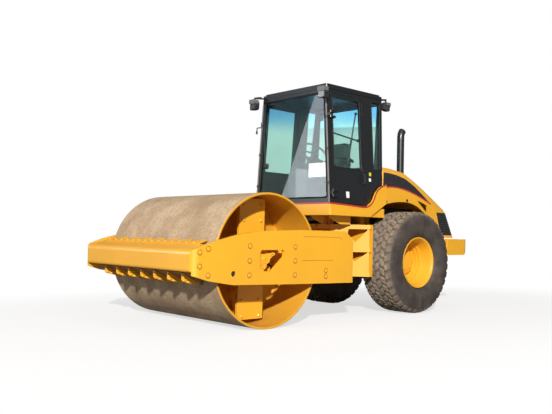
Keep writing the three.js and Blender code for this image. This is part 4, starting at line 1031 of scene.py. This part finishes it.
def roof_lamps():
    """A square work lamp round each of the roof's four lamp stubs: pale cap, black body, ribbed lens, bracket."""
    s = Shape()
    for _, side in SIDES:
        for x, out, y, k in ((-1.225, 1, 0.686, 1.0), (-2.536, -1, 0.651, 0.8)):
            c = ahead(x, side * y, CAB_TOP - 0.082)

            def square(half_y, top, bottom, along):
                loop = rounded(rectangle(-half_y, bottom, half_y, top), 0.018, 4)
                return [c + Vector((out * along, q[0] * k, q[1] * (k if q[1] > 0 else k + 0.22))) for q in loop]

            s.rings([square(0.04, 0.05, -0.045, -0.056), square(0.054, 0.066, -0.062, -0.03),
                     square(0.056, 0.068, -0.066, 0.04), square(0.05, 0.062, -0.06, 0.044)], mark=1)
            s.rings([square(0.05, 0.058, -0.056, 0.0425), square(0.05, 0.058, -0.056, 0.047)], mark=2)
            s.rings([square(0.0585, 0.0705, 0.012, -0.03), square(0.0605, 0.0725, 0.008, 0.046),
                     square(0.0605, 0.0725, 0.008, 0.058), square(0.0575, 0.0695, 0.012, 0.058)])
            arm = ((0, 0, 0.07), (0, 0.01, 0.09), (0.02, 0.05, 0.098), (0.05, 0.09, 0.098))
            s.tube(smooth_path([c + Vector((-out * x, -side * y, z)) for x, y, z in arm], 4), 0.013, 10, 1)
            for a in (-1, 1):
                s.bolt(c + Y * 0.056 * a, Y * a, 0.02, mark=1)
    s.make("work_lamps", "rear_frame", [lamp_cap, plastic, lens], 0.0015)


for name, side in SIDES:
    cab_side_trim(name, side)
windshield_trim()
roof_lamps()


# ---------------------------------------------------------------- driver's place
def apply_all(piece):
    """Applies every modifier of a piece and keeps its finishes."""
    made = bpy.data.meshes.new_from_object(piece.evaluated_get(bpy.context.evaluated_depsgraph_get()))
    old = piece.data
    piece.modifiers.clear()
    piece.data = made
    if not made.materials:
        for finish in old.materials:
            made.materials.append(finish)
    bpy.data.meshes.remove(old)


def cushion(name, node, flat):
    """A stuffed pad, flat or upright: the CAD block, puffed by cloth, then sewn with a channel round its face."""
    low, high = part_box(node)
    centre = (low + high) / 2
    size = high - low
    inset, cap = 0.014, 0.024
    if flat:
        plan = rounded(rectangle(low.x + inset, low.y + inset, high.x - inset, high.y - inset), 0.07, 6)
        rings = [[Vector((*q, z)) for q in plan] for z in (low.z + 0.002, centre.z, high.z - 0.02)]
    else:
        plan = rounded([(low.y + inset, low.z + 0.004), (high.y - inset, low.z + 0.004),
                        (high.y - inset - 0.02, high.z - inset), (low.y + inset + 0.02, high.z - inset)], 0.08, 6)
        rings = [[Vector((x, *q)) for q in plan] for x in (low.x + 0.012, centre.x, high.x - 0.012)]
    s = Shape()
    s.rings(rings)
    piece = s.make(name, "rear_frame", fabric, angle=180)
    remesh = piece.modifiers.new("even_mesh", "REMESH")
    remesh.mode = "VOXEL"
    remesh.voxel_size = 0.009
    apply_all(piece)
    rest = [v.co.copy() for v in piece.data.vertices]
    cloth = piece.modifiers.new("stuffing", "CLOTH")
    cloth.settings.use_pressure = True
    cloth.settings.uniform_pressure_force = 4.0
    cloth.settings.effector_weights.gravity = 0.0
    cloth.point_cache.frame_end = 20
    for step in range(1, 21):
        bpy.context.scene.frame_set(step)
    apply_all(piece)
    bpy.context.scene.frame_set(1)
    face, tall = (2, 0) if flat else (0, 2)
    for vertex, start in zip(piece.data.vertices, rest):
        move = vertex.co - start
        if move.length > cap:
            move = move.normalized() * cap
        p = start + move
        for i in range(3):
            p[i] = min(max(p[i], low[i] + 0.0005), high[i] - 0.0005)
        u, v, raised = ((p[i] - centre[i]) / (size[i] / 2) for i in (tall, 1, face))
        if raised > 0.2:
            edge = max(abs(u), abs(v))
            ring = abs(edge - 0.72)
            rows = min(abs(abs(v) - 0.27), 1.0) if edge < 0.72 else 1.0
            dip = 0.010 * exp(-((ring / 0.035) ** 2)) + 0.008 * exp(-((rows / 0.03) ** 2))
            p[face] -= dip * min(1.0, (raised - 0.2) * 2)
        vertex.co = p
    piece.data.shade_smooth()
    finer = piece.modifiers.new("finer", "SUBSURF")
    finer.levels = finer.render_levels = 1
    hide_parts(node)


def steering_wheel():
    lean = atan2(0.170, 0.220)
    axis = Vector((-sin(lean), 0, cos(lean)))
    u, v = square_to(axis)
    centre = ahead(-1.34 - 0.045 - 0.38, 0, CAB_BASE + 0.76) + axis * 0.012

    def out(t):
        return u * cos(t) + v * sin(t)

    s = Shape()
    s.tube([centre + out(2 * pi * k / 64) * 0.2 for k in range(64)], 0.0145, 14, closed=True)
    section = rectangle(-1, -0.004, 1, 0.004)
    for way in (out(radians(angle)) for angle in (90, 210, 330)):
        across = way.cross(axis)
        s.rings([
            [centre + way * r + across * w * a + axis * (h + b) for a, b in section]
            for r, w, h in ((0.03, 0.024, -0.002), (0.08, 0.017, -0.006), (0.14, 0.014, -0.004), (0.196, 0.018, 0.0))
        ])
    s.disc([(0, -0.012), (0.045, -0.012), (0.05, 0.0), (0.042, 0.011), (0.02, 0.0145), (0, 0.015)], centre, axis, 36)
    s.make("steering_wheel_rim", "rear_frame", plastic, 0.001, replaces=["steering_wheel"])
    s = Shape()
    s.disc([(0, 0.012), (0.008, 0.012), (0.009, 0.03), (0.02, 0.04), (0.022, 0.052), (0.014, 0.062), (0, 0.064)],
           centre + out(0.6) * 0.185, axis)
    s.make("steering_knob", "rear_frame", plastic)


def cab_interior():
    """The floor mat, blank gauges and switches, and the seat's gaiter, armrests and belt."""
    s = Shape()
    near, far = CAB_FRONT - 0.06, CAB_FRONT - 0.98
    mat = rounded([(near, -0.66), (near, 0.66), (far, 0.66), (far, -0.66)], 0.03)
    s.plate(mat, Z * (CAB_BASE + 0.0005), X, Y, 0.008)
    s.make("cab_floor_mat", "rear_frame", ribbed_mat)
    low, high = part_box("steering_console")
    s = Shape()
    for y, r in ((-0.09, 0.036), (0.0, 0.03), (0.09, 0.036)):
        s.disc([(0, 0.0), (r, 0.0), (r, 0.012), (r * 0.86, 0.016), (r * 0.8, 0.008), (0, 0.008)],
               Vector((low.x + 0.22, y, high.z - 0.11)), Vector((-0.75, 0, 0.66)).normalized(), 28)
    for y in (-0.12 + 0.052 * k for k in range(5)):
        s.block((low.x + 0.05, y, high.z - 0.2), (low.x + 0.062, y + 0.03, high.z - 0.17))
    s.make("instrument_dials", "rear_frame", lens)
    s = Shape()
    y, z = middle("arm_console").y - 0.06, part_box("arm_console")[1].z - 0.15
    for x in (middle("arm_console").x - 0.16 + 0.045 * k for k in range(6)):
        s.block((x, y, z), (x + 0.03, y + 0.03, z + 0.012))
    s.make("console_switches", "rear_frame", plastic, 0.002)
    low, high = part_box("seat_base")
    s = Shape()
    rings = []
    for fold in range(6):
        grow = 0.012 if fold % 2 else 0.0
        plan = rectangle(low.x + 0.05 - grow, -0.17 - grow, high.x - 0.07 + grow, 0.17 + grow)
        rings.append([Vector((*q, CAB_BASE + 0.07 + fold * 0.04)) for q in rounded(plan, 0.04)])
    s.rings(rings)
    s.make("seat_gaiter", "rear_frame", seal_rubber, angle=80)
    low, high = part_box("seat_back")
    s = Shape()
    for y in (-0.275, 0.275):
        arm = ((0.06, 2.13), (0.16, 2.165), (0.36, 2.165), (0.42, 2.155))
        s.tube(smooth_path([(low.x + x, y, z) for x, z in arm], 5), 0.022)
    s.make("seat_armrests", "rear_frame", plastic)
    s = Shape()
    belt = ((-0.03, 0.24, 1.97), (0.05, 0.2, 1.9955), (0.1, 0.05, 2.0), (0.1, -0.12, 2.0), (0.04, -0.22, 1.996),
            (-0.03, -0.245, 1.965))
    line = smooth_path([(high.x + x, y, z) for x, y, z in belt], 6)
    rings = []
    for i, p in enumerate(line):
        wide = way_at(line, i).cross(Z).normalized() * 0.022
        rings.append([p - wide, p + wide, p + wide + Z * 0.002, p - wide + Z * 0.002])
    s.rings(rings)
    s.make("seat_belt", "rear_frame", webbing)


cushion("seat_pad", "seat_cushion", True)
cushion("back_pad", "seat_back", False)
steering_wheel()
cab_interior()


# ---------------------------------------------------------------- hood, grille, exhaust and hoses
GRILLE_LOW, GRILLE_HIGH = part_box("rear_grille")
GRILLE_LEAN = 0.194


def exhaust():
    x, y, r = DRUM_X - 3.35, 0.3, 0.055
    line = [Vector((x - back, y, z)) for back, z in (
        (0, 1.86), (0, 2.0), (0, 2.2), (0, 2.4), (0, 2.55), (0.001, 2.61), (0.008, 2.65), (0.022, 2.68), (0.038, 2.698),
    )]
    s = Shape()
    s.tube(line, r, 32)
    for profile, at, axis in (
        ([(0.93, 0.0005), (1.02, 0.0), (1.03, -0.012), (0.93, -0.02)], line[-1], way_at(line, len(line) - 1)),
        ([(0.999, -0.01), (1.35, -0.01), (1.35, 0.012), (1.08, 0.03), (0.999, 0.03)], Vector((x, y, 1.872)), Z),
        ([(0.999, -0.012), (1.06, -0.012), (1.06, 0.012), (0.999, 0.012)], Vector((x, y, 2.02)), Z),
    ):
        s.turned([(r * share, along) for share, along in profile], at, axis, 32)
    s.bolt(Vector((x + r * 1.08, y, 2.02)), X, 0.02)
    s.make("exhaust_pipe", "hood", stack_black, replaces=["exhaust_stack"])


def grille_bars():
    """Louvres down the grille's slanted back and in its two side windows."""
    low, tall = GRILLE_LOW, GRILLE_HIGH.z - GRILLE_LOW.z
    s = Shape()
    for share in ((k + 0.6) / 12 for k in range(12)):
        at = Vector((low.x + share * GRILLE_LEAN, 0.37, low.z + share * tall))
        s.plate([(0.01, 0), (-0.012, -0.010), (-0.012, -0.006), (0.01, 0.009)], at, X, Z, 0.74)
    for _, side in SIDES:
        for share in ((k + 0.7) / 9.4 for k in range(9)):
            x, z = low.x + share * GRILLE_LEAN + 0.155, low.z + share * tall
            front = DRUM_X - 3.86 + share * 0.12 - 0.03
            s.rings([
                [Vector((at, side * (GRILLE_HIGH.y - 0.001 + proud), z + up)) for at, proud, up in louvre]
                for louvre in (
                    ((x, 0, 0), (front, 0, 0.012), (front, 0, 0.017), (x, 0, 0.005)),
                    ((x, 0.005, 0), (front, 0.005, 0.012), (front, 0.001, 0.019), (x, 0.001, 0.007)),
                )
            ])
    s.make("grille_louvres", "hood", grille_grey)


def hood_trim():
    """Two round latches low on each side of the hood."""
    s = Shape()
    for _, side in SIDES:
        for x, z in ((-2.52, 1.56), (-3.0, 1.6)):
            s.disc([(0, -0.002), (0.022, -0.002), (0.02, 0.008), (0, 0.01)], ahead(x, side * HOOD_SIDE, z), Y * side)
    s.make("hood_latches", "hood", plastic)


def rear_lights():
    """A red and amber lamp pair in a black surround at each end of the grille's slanted back."""
    slant = Vector((GRILLE_LEAN, 0, GRILLE_HIGH.z - GRILLE_LOW.z)).normalized()
    out = Vector((-slant.z, 0, slant.x))
    s = Shape()
    for _, side in SIDES:
        foot = Vector((GRILLE_LOW.x, side * 0.47, GRILLE_LOW.z)) + slant * 0.19
        for half_y, half_z, depth, shift, mark in (
            (0.075, 0.085, 0.012, 0.0, 0), (0.062, 0.032, 0.018, 0.04, 1), (0.062, 0.032, 0.018, -0.038, 2),
        ):
            outline = rounded(rectangle(-half_y, -half_z, half_y, half_z), 0.012, 3)
            s.rings([[foot + Y * q[0] + slant * (q[1] + shift) + out * reach for q in outline]
                     for reach in (-0.004, depth)], mark=mark)
    s.make("rear_lights", "hood", [plastic, red_lens, amber_lens], 0.002)


def chassis_hoses():
    """The hose bundle from the chassis to the hitch, run under the deck."""
    path = ((-2.2, 1.5, 1.24), (-2.05, 1.6, 1.26), (-1.9, 1.7, 1.24), (-1.75, 1.6, 1.215), (-1.62, 1.3, 1.2))
    s = Shape()
    for y in (-0.16 + 0.08 * k for k in range(5)):
        s.tube(smooth_path([ahead(x, y * spread, z) for x, spread, z in path], 6), 0.017, 10)
    s.make("chassis_hoses", "rear_frame", hose_rubber)


def deck_gussets():
    """Slanted webs that carry the deck's front on the hitch nose."""
    web = rounded([(-1.42, 1.334), (-1.47, 1.29), (-1.66, 1.218), (-1.86, 1.218), (-1.86, 1.334)], 0.01, 2)
    s = Shape()
    for y in (-0.62, -0.3, 0.3, 0.62):
        s.plate(web, ahead(0, y + 0.008, 0), X, Z, 0.016)
    s.make("deck_gussets", "rear_frame", yellow, 0.002)


exhaust()
grille_bars()
hood_trim()
rear_lights()
chassis_hoses()
deck_gussets()


# ---------------------------------------------------------------- floor, light and camera
def panel(name, corners, finish):
    """A flat sheet of the studio, which isn't part of the machine."""
    mesh = bpy.data.meshes.new(name)
    mesh.from_pydata(corners, [], [list(range(len(corners)))])
    mesh.materials.append(finish)
    made = bpy.data.objects.new(name, mesh)
    bpy.context.scene.collection.objects.link(made)
    return made


def studio():
    """A pale floor that fades to the backdrop's white away from the machine but keeps its shadow."""
    floor = Finish("pale_floor", Specular_IOR_Level=0.1, Roughness=0.95)
    floor.set({"Base Color": (0.3, 0.3, 0.3, 1.0)})
    away = floor.node("ShaderNodeVectorMath", {"operation": "LENGTH"}, {0: floor.place((0.55, 1.0, 1.0))}, "Value")
    path = floor.node("ShaderNodeLightPath", output="Is Camera Ray")
    seen = path.math("MAXIMUM", path, path.part("Is Transmission Ray"))
    glow = floor.node("ShaderNodeEmission", None, {"Color": WHITE, "Strength": seen * 0.66})
    white = floor.node("ShaderNodeEmission", None, {"Color": WHITE, "Strength": 1.0})
    near = floor.node("ShaderNodeAddShader", None, {0: Value(floor, floor.shader.outputs[0]), 1: glow})
    floor.show(seen * away.over(2.2, 4.6), near, white)
    half = 80.0
    panel("studio_floor", [(x, y, -0.0005) for x, y in rectangle(-half, -half, half, half)], floor.material)
    world = bpy.data.worlds.new("studio_light")
    world.use_nodes = True
    bpy.context.scene.world = world
    tree = world.node_tree
    sky = tree.nodes["Background"].inputs
    sky["Color"].default_value = WHITE
    path = tree.nodes.new("ShaderNodeLightPath").outputs
    most = tree.nodes.new("ShaderNodeMath")
    most.operation = "MAXIMUM"
    tree.links.new(path["Is Camera Ray"], most.inputs[0])
    tree.links.new(path["Is Transmission Ray"], most.inputs[1])
    level = tree.nodes.new("ShaderNodeMapRange")
    level.inputs["To Min"].default_value = 0.21
    level.inputs["To Max"].default_value = 1.0
    tree.links.new(most.outputs[0], level.inputs["Value"])
    tree.links.new(level.outputs[0], sky["Strength"])


def reflectors():
    """Two cards that only mirror-like surfaces see: they give the windshield its slanted pale reflection."""
    for name, strength, y, outline in (
        ("tall_card", 6.0, -7.0, [(4.83, 1.9), (6.25, 5.4), (9.5, 5.4), (9.5, 1.9)]),
        ("low_card", 10.0, -6.95, [(5.38, 2.12), (5.38, 2.9), (9.5, 2.9), (9.5, 2.12)]),
    ):
        glow = bpy.data.materials.new(name)
        glow.use_nodes = True
        tree = glow.node_tree
        tree.nodes.clear()
        light = tree.nodes.new("ShaderNodeEmission")
        light.inputs["Color"].default_value = (0.86, 0.93, 1.0, 1.0)
        light.inputs["Strength"].default_value = strength
        out = tree.nodes.new("ShaderNodeOutputMaterial")
        tree.links.new(light.outputs[0], out.inputs["Surface"])
        card = panel(name, [tuple(ahead(x, y, z)) for x, z in outline], glow)
        card.visible_camera = card.visible_diffuse = card.visible_transmission = card.visible_shadow = False


def lamp(name, way, target, distance, size, power, tone=(1, 1, 1)):
    light = bpy.data.lights.new(name, "AREA")
    light.size = size
    light.energy = power
    light.color = tone
    piece = bpy.data.objects.new(name, light)
    piece.location = Vector(target) + Vector(way).normalized() * distance
    piece.rotation_mode = "QUATERNION"
    piece.rotation_quaternion = (Vector(target) - piece.location).to_track_quat("-Z", "Y")
    bpy.context.scene.collection.objects.link(piece)


def camera():
    eye = Vector((6.84194, 6.87499, 1.06319))
    forward = Vector((-0.67188, -0.73961, 0.03950)).normalized()
    roll = 0.02365
    level = forward.cross(Z).normalized()
    upright = level.cross(forward)
    right = level * cos(roll) + upright * sin(roll)
    up = level * -sin(roll) + upright * cos(roll)
    seen = bpy.data.cameras.new("photo_view")
    seen.sensor_width = 36.0
    seen.lens = 45.14
    seen.clip_end = 300.0
    piece = bpy.data.objects.new("photo_view", seen)
    piece.matrix_world = Matrix([(*row, 0) for row in (right, up, -forward)] + [(*eye, 1)]).transposed()
    bpy.context.scene.collection.objects.link(piece)
    bpy.context.scene.camera = piece


studio()
reflectors()
lamp("key_light", (0.636, 0.644, 0.36), (0.0, 0, 1.0), 32.0, 0.9, 15000, (1.0, 0.97, 0.92))
lamp("top_light", (0.1, 0.2, 1.0), (0, 0, 1.0), 9.0, 6.0, 60)
lamp("back_light", (-0.8, -0.5, 0.6), (-0.5, 0, 1.0), 11.0, 6.0, 90)
camera()
bpy.context.scene.view_settings.view_transform = "Standard"
